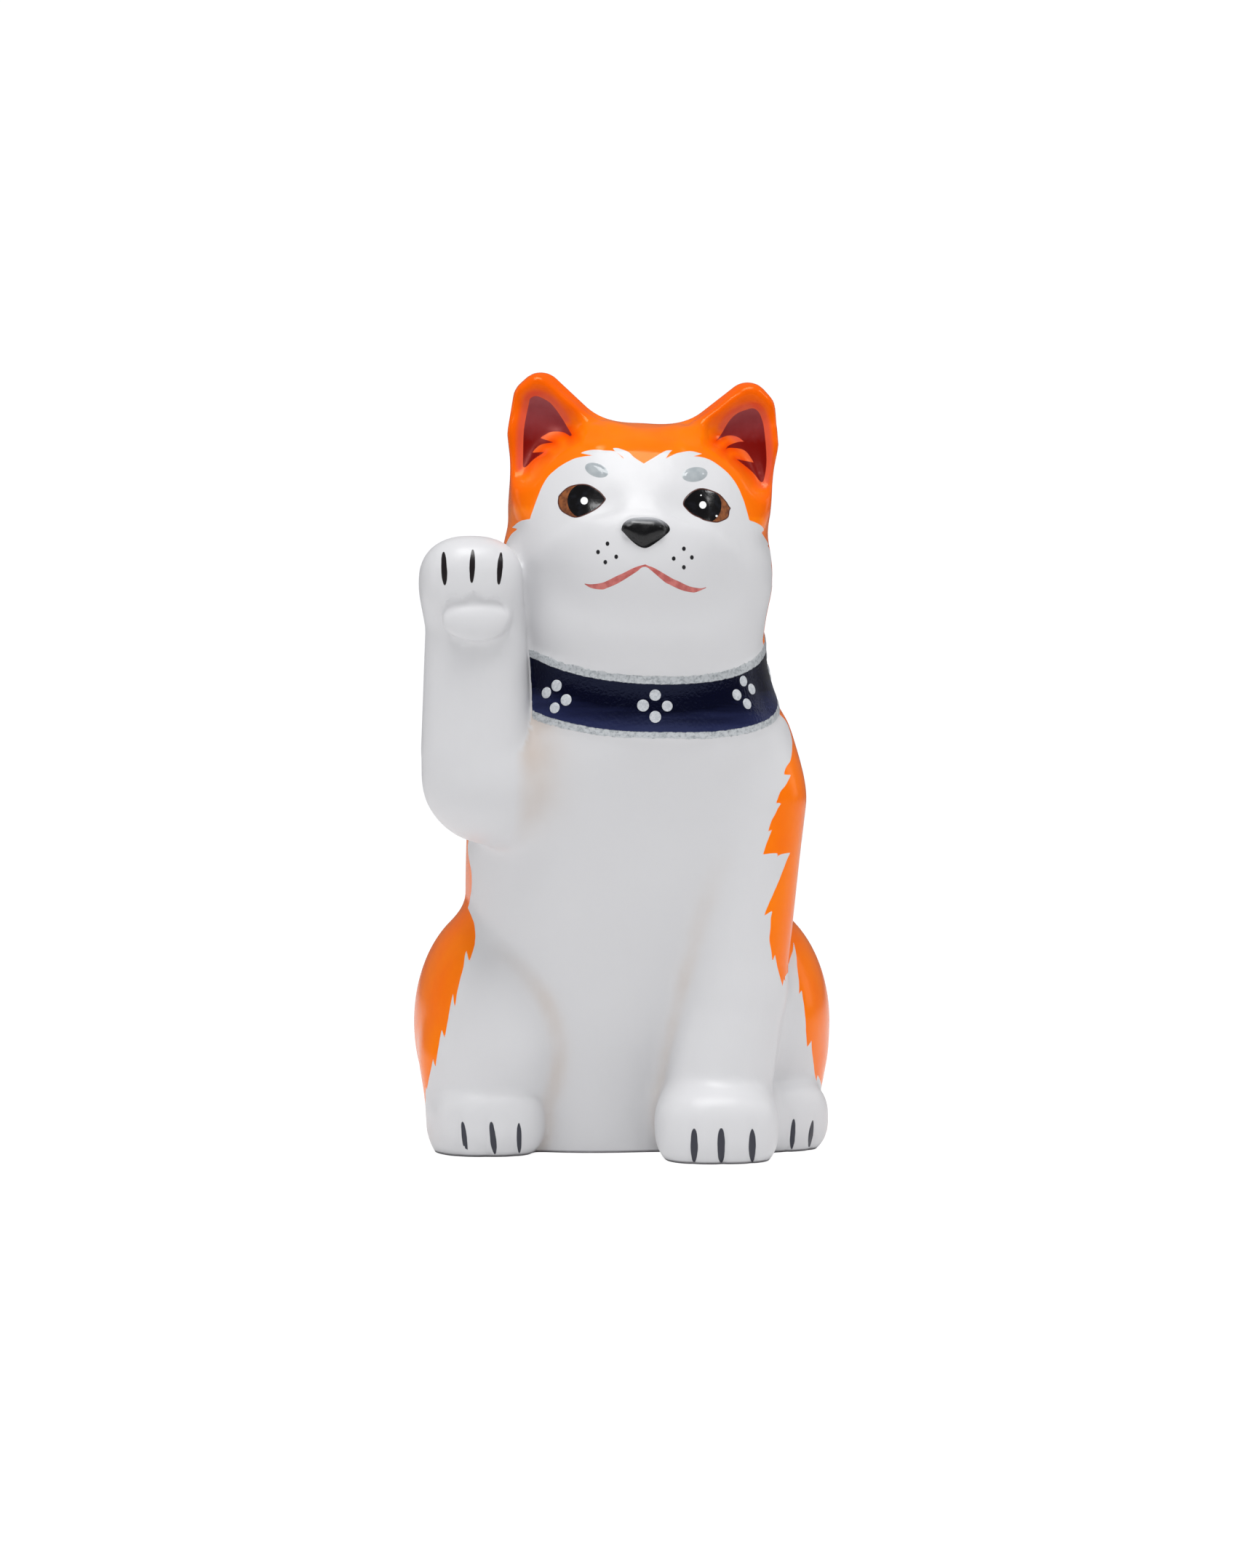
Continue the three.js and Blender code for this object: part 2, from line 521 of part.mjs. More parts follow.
// Merges the edges whose loss moves the skin least, until the wanted number of triangles is left.
// Each vertex carries the sum of the squared distances to the planes of the faces it has stood for.
function thin({ vertices, faces }, wanted) {
  const quadric = vertices.map(() => new Float64Array(10));
  const around = vertices.map(() => new Set());
  faces.forEach((face, f) => {
    const [a, b, c] = face.map((v) => vertices[v]);
    const n = cross(minus(b, a), minus(c, a));
    const area = Math.hypot(n[0], n[1], n[2]) || 1e-12;
    const [x, y, z] = n.map((s) => s / area);
    const w = -dot([x, y, z], a);
    const plane = [x * x, x * y, x * z, x * w, y * y, y * z, y * w, z * z, z * w, w * w];
    for (const v of face) {
      around[v].add(f);
      for (let i = 0; i < 10; i++) quadric[v][i] += plane[i] * area;
    }
  });
  const cost = (q, [x, y, z]) =>
    q[0] * x * x + 2 * q[1] * x * y + 2 * q[2] * x * z + 2 * q[3] * x + q[4] * y * y +
    2 * q[5] * y * z + 2 * q[6] * y + q[7] * z * z + 2 * q[8] * z + q[9];

  // Best place for the merged vertex, held close to the edge and in the underside where the edge touches it
  function place(q, a, b) {
    const middle = a.map((c, i) => (c + b[i]) / 2);
    const flat = a[2] === 0 || b[2] === 0;
    const options = [a, b, middle].map((p) => [p[0], p[1], flat ? 0 : p[2]]);
    const m = new THREE.Matrix3().set(q[0], q[1], q[2], q[1], q[4], q[5], q[2], q[5], q[7]);
    if (!flat && Math.abs(m.determinant()) > 1e-6) {
      const best = new THREE.Vector3(-q[3], -q[6], -q[8]).applyMatrix3(m.invert()).toArray();
      if (Math.hypot(...minus(best, middle)) < STRAY_LIMIT * Math.hypot(...minus(a, b))) options.push(best);
    }
    let pick = options[0];
    for (const p of options) if (cost(q, p) < cost(q, pick)) pick = p;
    return pick;
  }

  const heap = [];
  const less = (i, j) => heap[i].cost < heap[j].cost;
  const swap = (i, j) => ([heap[i], heap[j]] = [heap[j], heap[i]]);
  function push(entry) {
    heap.push(entry);
    for (let i = heap.length - 1; i > 0; ) {
      const up = (i - 1) >> 1;
      if (!less(i, up)) break;
      swap(i, up);
      i = up;
    }
  }
  function pop() {
    swap(0, heap.length - 1);
    const top = heap.pop();
    for (let i = 0; ; ) {
      let small = i;
      for (const child of [2 * i + 1, 2 * i + 2]) {
        if (child < heap.length && less(child, small)) small = child;
      }
      if (small === i) break;
      swap(i, small);
      i = small;
    }
    return top;
  }
  const stamp = new Int32Array(vertices.length);
  function offer(u, v) {
    const q = quadric[u].map((s, i) => s + quadric[v][i]);
    const p = place(q, vertices[u], vertices[v]);
    const length = Math.hypot(...minus(vertices[u], vertices[v]));
    push({ cost: cost(q, p) + LENGTH_COST * length * length, u, v, p, stamps: stamp[u] + stamp[v] });
  }
  function neighbours(v) {
    const found = new Set();
    for (const f of around[v]) for (const w of faces[f]) if (w !== v) found.add(w);
    return found;
  }
  faces.forEach((face) => {
    for (let i = 0; i < 3; i++) if (face[i] < face[(i + 1) % 3]) offer(face[i], face[(i + 1) % 3]);
  });

  const gone = new Uint8Array(vertices.length);
  let left = faces.length;
  while (left > wanted && heap.length) {
    const { u, v, p, stamps } = pop();
    if (gone[u] || gone[v] || stamps !== stamp[u] + stamp[v]) continue;
    const near = neighbours(v);
    const shared = [...neighbours(u)].filter((w) => near.has(w));
    if (shared.length !== 2) continue;
    let fair = true;
    for (const [from, other] of [[u, v], [v, u]]) {
      for (const f of around[from]) {
        if (faces[f].includes(other)) continue;
        const old = faces[f].map((w) => vertices[w]);
        const now = faces[f].map((w) => (w === from ? p : vertices[w]));
        const a = cross(minus(old[1], old[0]), minus(old[2], old[0]));
        const b = cross(minus(now[1], now[0]), minus(now[2], now[0]));
        const size = Math.hypot(...b);
        const longest = Math.max(...[0, 1, 2].map((i) => Math.hypot(...minus(now[i], now[(i + 1) % 3]))));
        if (dot(a, b) < TURN_LIMIT * Math.hypot(...a) * size) fair = false;
        if (size < SLIVER_LIMIT * longest * longest) fair = false;
      }
    }
    if (!fair) continue;
    vertices[u] = p;
    for (let i = 0; i < 10; i++) quadric[u][i] += quadric[v][i];
    for (const f of around[v]) {
      if (faces[f].includes(u)) {
        for (const w of faces[f]) if (w !== v) around[w].delete(f);
        faces[f] = null;
        left--;
      } else {
        faces[f] = faces[f].map((w) => (w === v ? u : w));
        around[u].add(f);
      }
    }
    gone[v] = 1;
    around[v].clear();
    stamp[u] += NEW_STAMP;
    for (const w of neighbours(u)) offer(u, w);
  }
  return { vertices, faces: faces.filter(Boolean) };
}

function asGeometry({ vertices, faces }) {
  const box = new THREE.Box3().setFromPoints(faces.flat().map((v) => new THREE.Vector3(...vertices[v])));
  const middle = box.getCenter(new THREE.Vector3());
  const number = new Map();
  const positions = [];
  const order = faces.flat().map((v) => {
    if (!number.has(v)) {
      number.set(v, number.size);
      const [x, y, z] = vertices[v];
      positions.push(x - middle.x, y - middle.y, z - box.min.z);
    }
    return number.get(v);
  });
  const geometry = new THREE.BufferGeometry();
  geometry.setAttribute("position", new THREE.Float32BufferAttribute(positions, 3));
  geometry.setIndex(order);
  geometry.computeVertexNormals();
  return geometry;
}

const ROOM = { low: [-50, -50, -GRID], high: [48, 50, 160] }; // holds the whole figure
const SETTLE_ROUNDS = 3;
const first = skin(dog, ROOM.low, ROOM.high, GRID);
settle(first.vertices, dog, SETTLE_ROUNDS, GRID / 3);
const solid = asGeometry(thin(first, FACETS));

const figure = new THREE.Group();
figure.name = "beckoning_dog_figurine";
const casting = new THREE.Mesh(solid, WHITE);
casting.name = "beckoning_dog";
figure.add(casting);

export default figure;
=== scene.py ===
import math

import bpy
import numpy as np
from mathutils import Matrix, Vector
from mathutils.bvhtree import BVHTree


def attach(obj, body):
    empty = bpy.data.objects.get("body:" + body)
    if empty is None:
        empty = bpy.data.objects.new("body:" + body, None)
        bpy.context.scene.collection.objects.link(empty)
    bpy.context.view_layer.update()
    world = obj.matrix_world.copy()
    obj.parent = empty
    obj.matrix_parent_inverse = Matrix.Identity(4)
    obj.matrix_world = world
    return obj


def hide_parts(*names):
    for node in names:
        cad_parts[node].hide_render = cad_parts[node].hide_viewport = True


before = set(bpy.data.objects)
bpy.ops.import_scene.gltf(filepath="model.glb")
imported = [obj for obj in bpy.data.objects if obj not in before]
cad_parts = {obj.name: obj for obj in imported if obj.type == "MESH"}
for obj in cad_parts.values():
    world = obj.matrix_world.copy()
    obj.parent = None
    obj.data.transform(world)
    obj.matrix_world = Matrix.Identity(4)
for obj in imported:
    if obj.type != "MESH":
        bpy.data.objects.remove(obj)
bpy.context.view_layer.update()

# The figure is one slip casting of white clay, hollow, poured in a plaster mould and painted by hand. Trunk,
# head, limbs, tail curl and collar band run into each other over soft fillets, and the underside is flat.
# Its skin is where a distance field is zero. Lengths are mm, the dog faces -Y and its left side is +X.
GRID = 1.05  # spacing of the first mesh

# Trunk and neck in level sections: height, middle in x, half width, front in y, back in y
TRUNK = [
    (-8, 1.2, 30.5, -11.6, 38),
    (0, 1.2, 30.5, -12, 39),
    (12, 1.2, 30.5, -14.3, 40),
    (25, 1.2, 30.7, -18.4, 39),
    (38, 0.9, 31.2, -22.3, 36),
    (47, 0.6, 32, -25.1, 33),
    (58, 0.9, 32.8, -28.3, 29.5),
    (69, 1, 32.9, -31.8, 26),
    (78, 1, 32.4, -34.8, 23),
    (85, 0.8, 30.4, -35.6, 21),
    (91, 0.2, 27.5, -35.3, 19.5),
    (97, -0.1, 25.9, -34.8, 17.8),
    (104, -0.1, 24.9, -34.5, 16.4),
    (114, -0.1, 24.9, -34, 15),
]
TRUNK_SQUARE = 2.35  # 2 is an oval section, more is squarer
TRUNK_TOP = 110  # the trunk ends inside the head
CHEST_HOLLOW = dict(at=(1, -45.5, 63), radii=(15, 14, 20), blend=7)

# Hind legs, mirrored about x = HIND_MIDDLE: thigh, then a shin on either side
HIND_MIDDLE = 1.1
THIGH = dict(at=(25.9, 8.5, 24.8), radii=(16.8, 26, 24.8), blend=3.5)
RIGHT_SHIN = dict(start=(-29.8, -0.7, 17), end=(-29.6, -3.4, 6), radii=(11.4, 11.2), blend=4)
LEFT_SHIN = dict(start=(29.4, 0, 17), end=(29.4, -3, 6), radii=(10.6, 10), blend=4)

# Feet: middle, heading in degrees, half sizes, blend with the leg above
FOOT_SQUARE = 2.6
RIGHT_HIND_FOOT = dict(at=(-28.7, -5.5, 6.5), yaw=-11, radii=(11.4, 10.8, 8.5), blend=1)
LEFT_HIND_FOOT = dict(at=(27.8, -8.5, 6.3), yaw=12, radii=(11.6, 10.8, 8.7), blend=2)
LEFT_FORE_FOOT = dict(at=(13.7, -24, 6.1), yaw=-6, radii=(12, 11.7, 9.2), blend=2.5)
TOE_PITCH = 0.47  # of the foot's half width
TOE_GROOVE = 0.35
TOES = dict(start=0.45, over=0.4, top=0.4, fade=0.5, wide=0.8)  # shares of the foot's depth and height

# Left foreleg, straight down from the shoulder
FORELEG = dict(top=(21.2, -18.2, 70), knee=(18.6, -18.4, 33), ankle=(14.2, -20.5, 8))
FORELEG_RADII = (11.6, 10.1, 10.4)
FORELEG_BLEND = 4.5
KNEE_BLEND = 2

# Tail, one flat curl laid against the rump
TAIL_MIDDLE = (0, 33)
TAIL_BACK = 35.6
TAIL_CURL = dict(start=-110, sweep=400, near=12.5, far=5, thick=7.4, tip=4.4, links=14, lift=3, lean=-0.14)
TAIL_BLEND = 1.2

# Head in its own frame, turned to the dog's right and leaning a little
HEAD = dict(at=(0.5, -9.5, 118.2), yaw=-9, roll=2.5, blend=4)
SKULL = dict(radii=(25.2, 24.5, 27), square=2.4)
TEMPLE = dict(at=(12, -1, 9), radii=(12, 15, 13), blend=4)
CHEEK = dict(at=(12.4, -5.6, -3), radii=(13.9, 18.6, 13), blend=5)
THROAT = dict(at=(0, -8.5, -14.5), radii=(23, 22, 16), blend=5)
MUZZLE = dict(at=(0, -18.5, -5), radii=(14.2, 13.8, 8.4), square=2.2, blend=5)
BRIDGE = dict(start=(0, -14, 11), end=(0, -23.5, 2), radii=(10.4, 7.6), flat=0.52, blend=6)
EYE_HOLLOW = dict(at=(8.5, -29, 10.5), radii=(2.5, 1, 2.5), blend=4)

# Nose, a rounded triangle pad with a domed top
NOSE = dict(wide=3.1, top=3.6, low=1.8, round=1.2, lid=1.9, lid_top=4.3, lid_round=1.5, soft=1)
NOSE_FRONT = dict(y=-30, lean=0.3, lean_from=2, half=3.4, edge=2.2, blend=0.6)

# Ear, a plate of five corners that is thicker at its foot, hollowed at the front
EAR = dict(
    corners=[(22.3, 23.2), (21.5, 30), (20.4, 31.1), (5.3, 18.2), (20.3, 11)],
    round=4.4,
    edge=3.2,
    blend=4.5,
)
EAR_PLATE = dict(y=-7.2, lean=0.02, lean_from=30, tip_half=3.4, taper=0.24, tip=33, tall=20)
EAR_BOWL = dict(
    corners=[(21.3, 15.5), (21, 27.2), (13.2, 20.9)],
    radius=5,
    ahead=1.4,
    rise=-0.12,
    rise_from=24,
    rise_tall=16,
    edge=1.8,
)

# Collar, a raised band that rises steeply from the throat and runs more level behind the pivot
COLLAR = dict(
    height=103.4,
    tilt=25.5,
    roll=-0.01,
    pivot=-4,
    ease=0.7,
    soft=8,
    half=5.5,
    edge=0.9,
    raised=0.65,
)

# Raised right arm: web that ties it to neck and cheek, upper arm, its chest side, forearm and its flatter
# front, elbow, paw and palm pad. Its crease is crisp beside the collar and soft at the elbow.
ARM_WEB = dict(start=(-25, -16, 84), end=(-26, -18.5, 112), radii=(6.5, 5.5), blend=4)
UPPER_ARM = dict(start=(-29.8, -19, 74), end=(-20, -3, 80), radii=(9.8, 13.5), blend=5)
ARM_ROOT = dict(start=(-30.2, -19.6, 74.1), end=(-12, -13, 76), radii=(9.9, 15), blend=7)
FOREARM = dict(start=(-33.6, -22, 80), end=(-34.4, -24, 104), radii=(10.6, 9.2))
ARM_FACE = dict(start=(-31, -24.2, 80), end=(-31.8, -26, 104), radii=(7.8, 7), blend=2)
ELBOW = dict(at=(-32.2, -20.6, 75.5), radii=(9.7, 10, 10), blend=3)
PAW = dict(at=(-35.2, -26.3, 112), radii=(9.9, 10.2, 9), square=2.4, blend=3)
PALM_PAD = dict(at=(-35, -33.1, 104.9), radii=(6.6, 3.4, 4.6), blend=0.8)
ARM_CREASE = dict(blend=0.9, soft=7, start=86, over=18)

# Each limb is worked out only in the part of the figure that holds it
HIND_TOP = 60
TAIL_FRONT = 20
FORELEG_TOP = 90
HEAD_FOOT = 70
ARM_FOOT, ARM_INNER = 50, 8


def smooth(t):
    t = np.clip(t, 0, 1)
    return t * t * (3 - 2 * t)


def length(*sides):
    return np.sqrt(sum(s * s for s in sides))


def join(a, b, k):
    """Union of two distances that rounds the inner corner over the length k"""
    h = np.maximum(k - np.abs(a - b), 0) / k
    return np.minimum(a, b) - h * h * k / 4


def overlap(a, b, k):
    return -join(-a, -b, k)


def carve(a, b, k):
    return -join(-a, b, k)


def ball(p, at, radii, **_):
    """Ellipsoid"""
    q = [(c - a) / r for c, a, r in zip(p, at, radii)]
    near = length(*q)
    slope = length(*(s / r for s, r in zip(q, radii)))
    return near * (near - 1) / np.maximum(slope, 1e-9)


def pebble(p, at, radii, square, **_):
    """Ellipsoid with squarer shoulders"""
    reach = sum(np.abs((c - a) / r) ** square for c, a, r in zip(p, at, radii)) ** (1 / square)
    return length(*(c - a for c, a in zip(p, at))) * (1 - 1 / np.maximum(reach, 1e-6))


def limb(p, start, end, radii, **_):
    """Tapered limb with round ends"""
    along = [e - s for s, e in zip(start, end)]
    q = [c - s for c, s in zip(p, start)]
    t = np.clip(sum(c * a for c, a in zip(q, along)) / sum(a * a for a in along), 0, 1)
    return length(*(c - t * a for c, a in zip(q, along))) - (radii[0] + (radii[1] - radii[0]) * t)


def polygon(x, z, corners):
    """Distance to a convex outline in a plane, negative inside"""
    near = np.full(np.shape(x), np.inf)
    inside = np.ones(np.shape(x), bool)
    a, b, c = corners[:3]
    turn = math.copysign(1, (b[0] - a[0]) * (c[1] - a[1]) - (b[1] - a[1]) * (c[0] - a[0]))
    for (x0, z0), (x1, z1) in zip(corners, corners[1:] + corners[:1]):
        ex, ez = x1 - x0, z1 - z0
        wx, wz = x - x0, z - z0
        t = np.clip((wx * ex + wz * ez) / (ex * ex + ez * ez), 0, 1)
        near = np.minimum(near, length(wx - t * ex, wz - t * ez))
        inside &= turn * (ex * wz - ez * wx) > 0
    return np.where(inside, -near, near)


def frame_at(p, at, yaw, roll=0, **_):
    """Coordinates of p in a frame at a point, turned about z and then leaned about y"""
    a, b = math.radians(yaw), math.radians(roll)
    qx, qy, z = (c - s for c, s in zip(p, at))
    x = qx * math.cos(a) + qy * math.sin(a)
    y = qy * math.cos(a) - qx * math.sin(a)
    return [x * math.cos(b) - z * math.sin(b), y, x * math.sin(b) + z * math.cos(b)]


def mirrored(q):
    return [np.abs(q[0]), q[1], q[2]]


def trunk_sizes(z):
    """Middle, half width, front and back at each height, on a smooth curve through the sections"""
    rows = np.array(TRUNK, float)
    heights = rows[:, 0]
    slopes = np.empty_like(rows)
    slopes[1:-1] = (rows[2:] - rows[:-2]) / (heights[2:] - heights[:-2])[:, None]
    slopes[0] = (rows[1] - rows[0]) / (heights[1] - heights[0])
    slopes[-1] = (rows[-1] - rows[-2]) / (heights[-1] - heights[-2])
    i = np.clip(np.searchsorted(heights, z) - 1, 0, len(rows) - 2)
    span = heights[i + 1] - heights[i]
    t = np.clip((z - heights[i]) / span, 0, 1)
    u = 1 - t
    return [
        u * u * (1 + 2 * t) * rows[i, k]
        + t * t * (3 - 2 * t) * rows[i + 1, k]
        + span * t * u * (u * slopes[i, k] - t * slopes[i + 1, k])
        for k in (1, 2, 3, 4)
    ]


def trunk(p):
    middle, half, front, back = trunk_sizes(p[2])
    x = np.abs(p[0] - middle)
    y = np.abs(p[1] - (front + back) / 2)
    reach = ((x / half) ** TRUNK_SQUARE + (y / ((back - front) / 2)) ** TRUNK_SQUARE) ** (1 / TRUNK_SQUARE)
    return np.maximum(length(x, y) * (1 - 1 / np.maximum(reach, 1e-6)), p[2] - TRUNK_TOP)


def foot(p, at, yaw, radii, **_):
    """A foot with three shallow grooves between its toes"""
    q = frame_at(p, at, yaw)
    forward = np.clip((-q[1] / radii[1] - TOES["start"]) / TOES["over"], 0, 1)
    low = np.clip((TOES["top"] - q[2] / radii[2]) / TOES["fade"], 0, 1)
    groove = sum(np.exp(-(((q[0] - i * radii[0] * TOE_PITCH) / TOES["wide"]) ** 2)) for i in (-1, 0, 1))
    return pebble(q, (0, 0, 0), radii, FOOT_SQUARE) + TOE_GROOVE * groove * forward * low


def hind_legs(p):
    q = [np.abs(p[0] - HIND_MIDDLE), p[1], p[2]]
    legs = [(ball(q, **THIGH), THIGH["blend"])]
    legs += [(limb(p, **shin), shin["blend"]) for shin in (RIGHT_SHIN, LEFT_SHIN)]
    return legs + [(foot(p, **f), f["blend"]) for f in (RIGHT_HIND_FOOT, LEFT_HIND_FOOT)]


def foreleg(p):
    shoulder, knee, ankle = FORELEG_RADII
    leg = limb(p, FORELEG["top"], FORELEG["knee"], (shoulder, knee))
    leg = join(leg, limb(p, FORELEG["knee"], FORELEG["ankle"], (knee, ankle)), KNEE_BLEND)
    return join(leg, foot(p, **LEFT_FORE_FOOT), LEFT_FORE_FOOT["blend"])


def tail_links():
    """The curl is a chain of short limbs along a spiral that lifts off the rump towards its tip"""
    for i in range(TAIL_CURL["links"] + 1):
        t = i / TAIL_CURL["links"]
        a = math.radians(TAIL_CURL["start"] + TAIL_CURL["sweep"] * t)
        r = TAIL_CURL["near"] + (TAIL_CURL["far"] - TAIL_CURL["near"]) * t
        x, z = TAIL_MIDDLE[0] + r * math.cos(a), TAIL_MIDDLE[1] + r * math.sin(a)
        y = TAIL_BACK + TAIL_CURL["lift"] * t + TAIL_CURL["lean"] * (z - TAIL_MIDDLE[1])
        yield (x, y, z), TAIL_CURL["thick"] + (TAIL_CURL["tip"] - TAIL_CURL["thick"]) * t


TAIL = list(tail_links())


def tail(p):
    for (a, ra), (b, rb) in zip(TAIL, TAIL[1:]):
        yield limb(p, a, b, (ra, rb))


def ear(m):
    outline = polygon(m[0], m[2], EAR["corners"]) - EAR["round"]
    y = m[1] - EAR_PLATE["y"] - EAR_PLATE["lean"] * (m[2] - EAR_PLATE["lean_from"])
    under_tip = np.clip(EAR_PLATE["tip"] - m[2], 0, EAR_PLATE["tall"])
    half = EAR_PLATE["tip_half"] + EAR_PLATE["taper"] * under_tip
    plate = overlap(outline, np.abs(y) - half, EAR["edge"])
    floor = np.maximum(polygon(m[0], m[2], EAR_BOWL["corners"]), 0)
    lower = np.clip(EAR_BOWL["rise_from"] - m[2], 0, EAR_BOWL["rise_tall"])
    ahead = EAR_BOWL["ahead"] + EAR_BOWL["rise"] * lower
    return carve(plate, length(floor, y + half + ahead) - EAR_BOWL["radius"], EAR_BOWL["edge"])


def nose(q):
    corners = [(-NOSE["wide"], NOSE["top"]), (NOSE["wide"], NOSE["top"]), (0, NOSE["low"])]
    lid = length(np.maximum(np.abs(q[0]) - NOSE["lid"], 0), q[2] - NOSE["lid_top"]) - NOSE["lid_round"]
    pad = join(polygon(q[0], q[2], corners) - NOSE["round"], lid, NOSE["soft"])
    lean = NOSE_FRONT["lean"] * (q[2] - NOSE_FRONT["lean_from"])
    across = np.abs(q[1] - NOSE_FRONT["y"] - lean) - NOSE_FRONT["half"]
    return overlap(pad, across, NOSE_FRONT["edge"])


def head(p):
    q = frame_at(p, **HEAD)
    m = mirrored(q)
    d = pebble(q, (0, 0, 0), **SKULL)
    d = join(d, ball(m, **TEMPLE), TEMPLE["blend"])
    d = join(d, ball(m, **CHEEK), CHEEK["blend"])
    d = join(d, ball(q, **THROAT), THROAT["blend"])
    d = join(d, pebble(q, **MUZZLE), MUZZLE["blend"])
    d = join(d, limb([q[0] * BRIDGE["flat"], q[1], q[2]], **BRIDGE), BRIDGE["blend"])
    d = carve(d, ball(m, **EYE_HOLLOW), EYE_HOLLOW["blend"])
    d = join(d, ear(m), EAR["blend"])
    return join(d, nose(q), NOSE_FRONT["blend"])


def above_collar(p):
    """How far a point lies above the middle of the band, square to it"""
    t = math.radians(COLLAR["tilt"])
    run = p[1] - COLLAR["pivot"]
    behind = (run + length(run, COLLAR["soft"])) / 2
    level = COLLAR["height"] + math.tan(t) * (run - COLLAR["ease"] * behind) + COLLAR["roll"] * p[0]
    return (p[2] - level) * math.cos(t)


def forearm(p):
    a = join(limb(p, **FOREARM), limb(p, **ARM_FACE), ARM_FACE["blend"])
    a = join(a, ball(p, **ELBOW), ELBOW["blend"])
    a = join(a, pebble(p, **PAW), PAW["blend"])
    return join(a, ball(p, **PALM_PAD), PALM_PAD["blend"])


def dog(points):
    """Signed distance to the skin, negative inside"""
    p = [points[..., i] for i in range(3)]
    d = carve(trunk(p), ball(p, **CHEST_HOLLOW), CHEST_HOLLOW["blend"])

    def grow(near, shapes):
        if near.any():
            part = [c[near] for c in p]
            for shape, k in shapes(part):
                d[near] = join(d[near], shape, k)

    grow(p[2] < HIND_TOP, hind_legs)
    grow(p[2] < FORELEG_TOP, lambda q: [(foreleg(q), FORELEG_BLEND)])
    grow((p[2] < HIND_TOP) & (p[1] > TAIL_FRONT), lambda q: ((shape, TAIL_BLEND) for shape in tail(q)))
    grow(p[2] > HEAD_FOOT, lambda q: [(head(q), HEAD["blend"])])
    band = (COLLAR["half"] + COLLAR["edge"] - np.abs(above_collar(p))) / (2 * COLLAR["edge"])
    d = d - COLLAR["raised"] * smooth(band)
    high = (p[2] > ARM_FOOT) & (p[0] < ARM_INNER)
    if high.any():
        q = [c[high] for c in p]
        near = d[high]
        for part in (ARM_WEB, UPPER_ARM, ARM_ROOT):
            near = join(near, limb(q, **part), part["blend"])
        soft = smooth((ARM_CREASE["start"] - q[2]) / ARM_CREASE["over"])
        d[high] = join(near, forearm(q), ARM_CREASE["blend"] + ARM_CREASE["soft"] * soft)
    return d


FEELER = 0.05
RIM_DEPTH = 0.8
LEAST_HEIGHT = 0.02


def slope(points):
    steps = np.eye(3) * FEELER
    return np.stack([dog(points + s) - dog(points - s) for s in steps], -1) / (2 * FEELER)


def outward(points):
    """The skin's direction at each point, of length one"""
    way = slope(points)
    return way / length(*way.T)[:, None]


def settle(points, rounds, most):
    """Moves points onto the skin. Those of the underside stay in its plane, and inner ones don't move."""
    points = points.copy()
    for _ in range(rounds):
        d = dog(points)
        based = points[:, 2] == 0
        moving = ~(based & (d < -RIM_DEPTH))
        g = slope(points[moving])
        g[based[moving], 2] = 0
        step = np.clip(d[moving] / np.maximum((g * g).sum(-1), 0.05), -most, most)
        points[moving] -= step[:, None] * g
        points[~based, 2] = np.maximum(points[~based, 2], LEAST_HEIGHT)
    return points


def sheets():
    """A grid cell takes one sheet of the skin. These are the corner patterns that would need two."""
    bits = range(8)

    def pieces(corners):
        left, count = set(corners), 0
        while left:
            queue = [left.pop()]
            for a in queue:
                for b in [b for b in left if a ^ b in (1, 2, 4)]:
                    left.discard(b)
                    queue.append(b)
            count += 1
        return count

    for pattern in range(256):
        inside = [b for b in bits if pattern >> b & 1]
        outside = [b for b in bits if not pattern >> b & 1]
        two = pieces(inside) > 1 or pieces(outside) > 1
        for u, v, w in ((1, 2, 4), (2, 4, 1), (4, 1, 2)):
            for side in (0, w):
                face = [pattern >> c & 1 for c in (side, side + u, side + u + v, side + v)]
                two |= face[0] == face[2] != face[1] == face[3]
        yield two


TWO_SHEETS = np.array(list(sheets()))
CORNERS = [(c & 1, c >> 1 & 1, c >> 2) for c in range(8)]
GRID_LOW = (-50, -50, -GRID)
GRID_HIGH = (48, 50, 160)


def grid_field():
    """Distances on a grid. Where a cell would hold two sheets, its nearest outer corner is taken inside."""
    low, high = np.array(GRID_LOW), np.array(GRID_HIGH)
    count = np.ceil((high - low) / GRID).astype(int) + 1
    axes = [low[i] + GRID * np.arange(count[i]) for i in range(3)]
    axes[2][1] = 0
    value = np.ones(count)
    for k in range(1, count[2]):
        points = np.stack(np.meshgrid(axes[0], axes[1], axes[2][k], indexing="ij"), -1)[:, :, 0]
        value[:, :, k] = dog(points)
    while True:
        x, y, z = count - 1
        views = [value[i : i + x, j : j + y, k : k + z] for i, j, k in CORNERS]
        pattern = sum((v < 0).astype(int) << b for b, v in enumerate(views))
        cells = np.argwhere(TWO_SHEETS[pattern])
        if not len(cells):
            return axes, value
        corners = cells[:, None] + np.array(CORNERS)
        at = value[tuple(corners.transpose(2, 0, 1))]
        at = np.where((at < 0) | (corners[..., 2] == 0), np.inf, at)
        least = corners[np.arange(len(cells)), at.argmin(1)]
        value[tuple(least.T)] = -0.05 * GRID


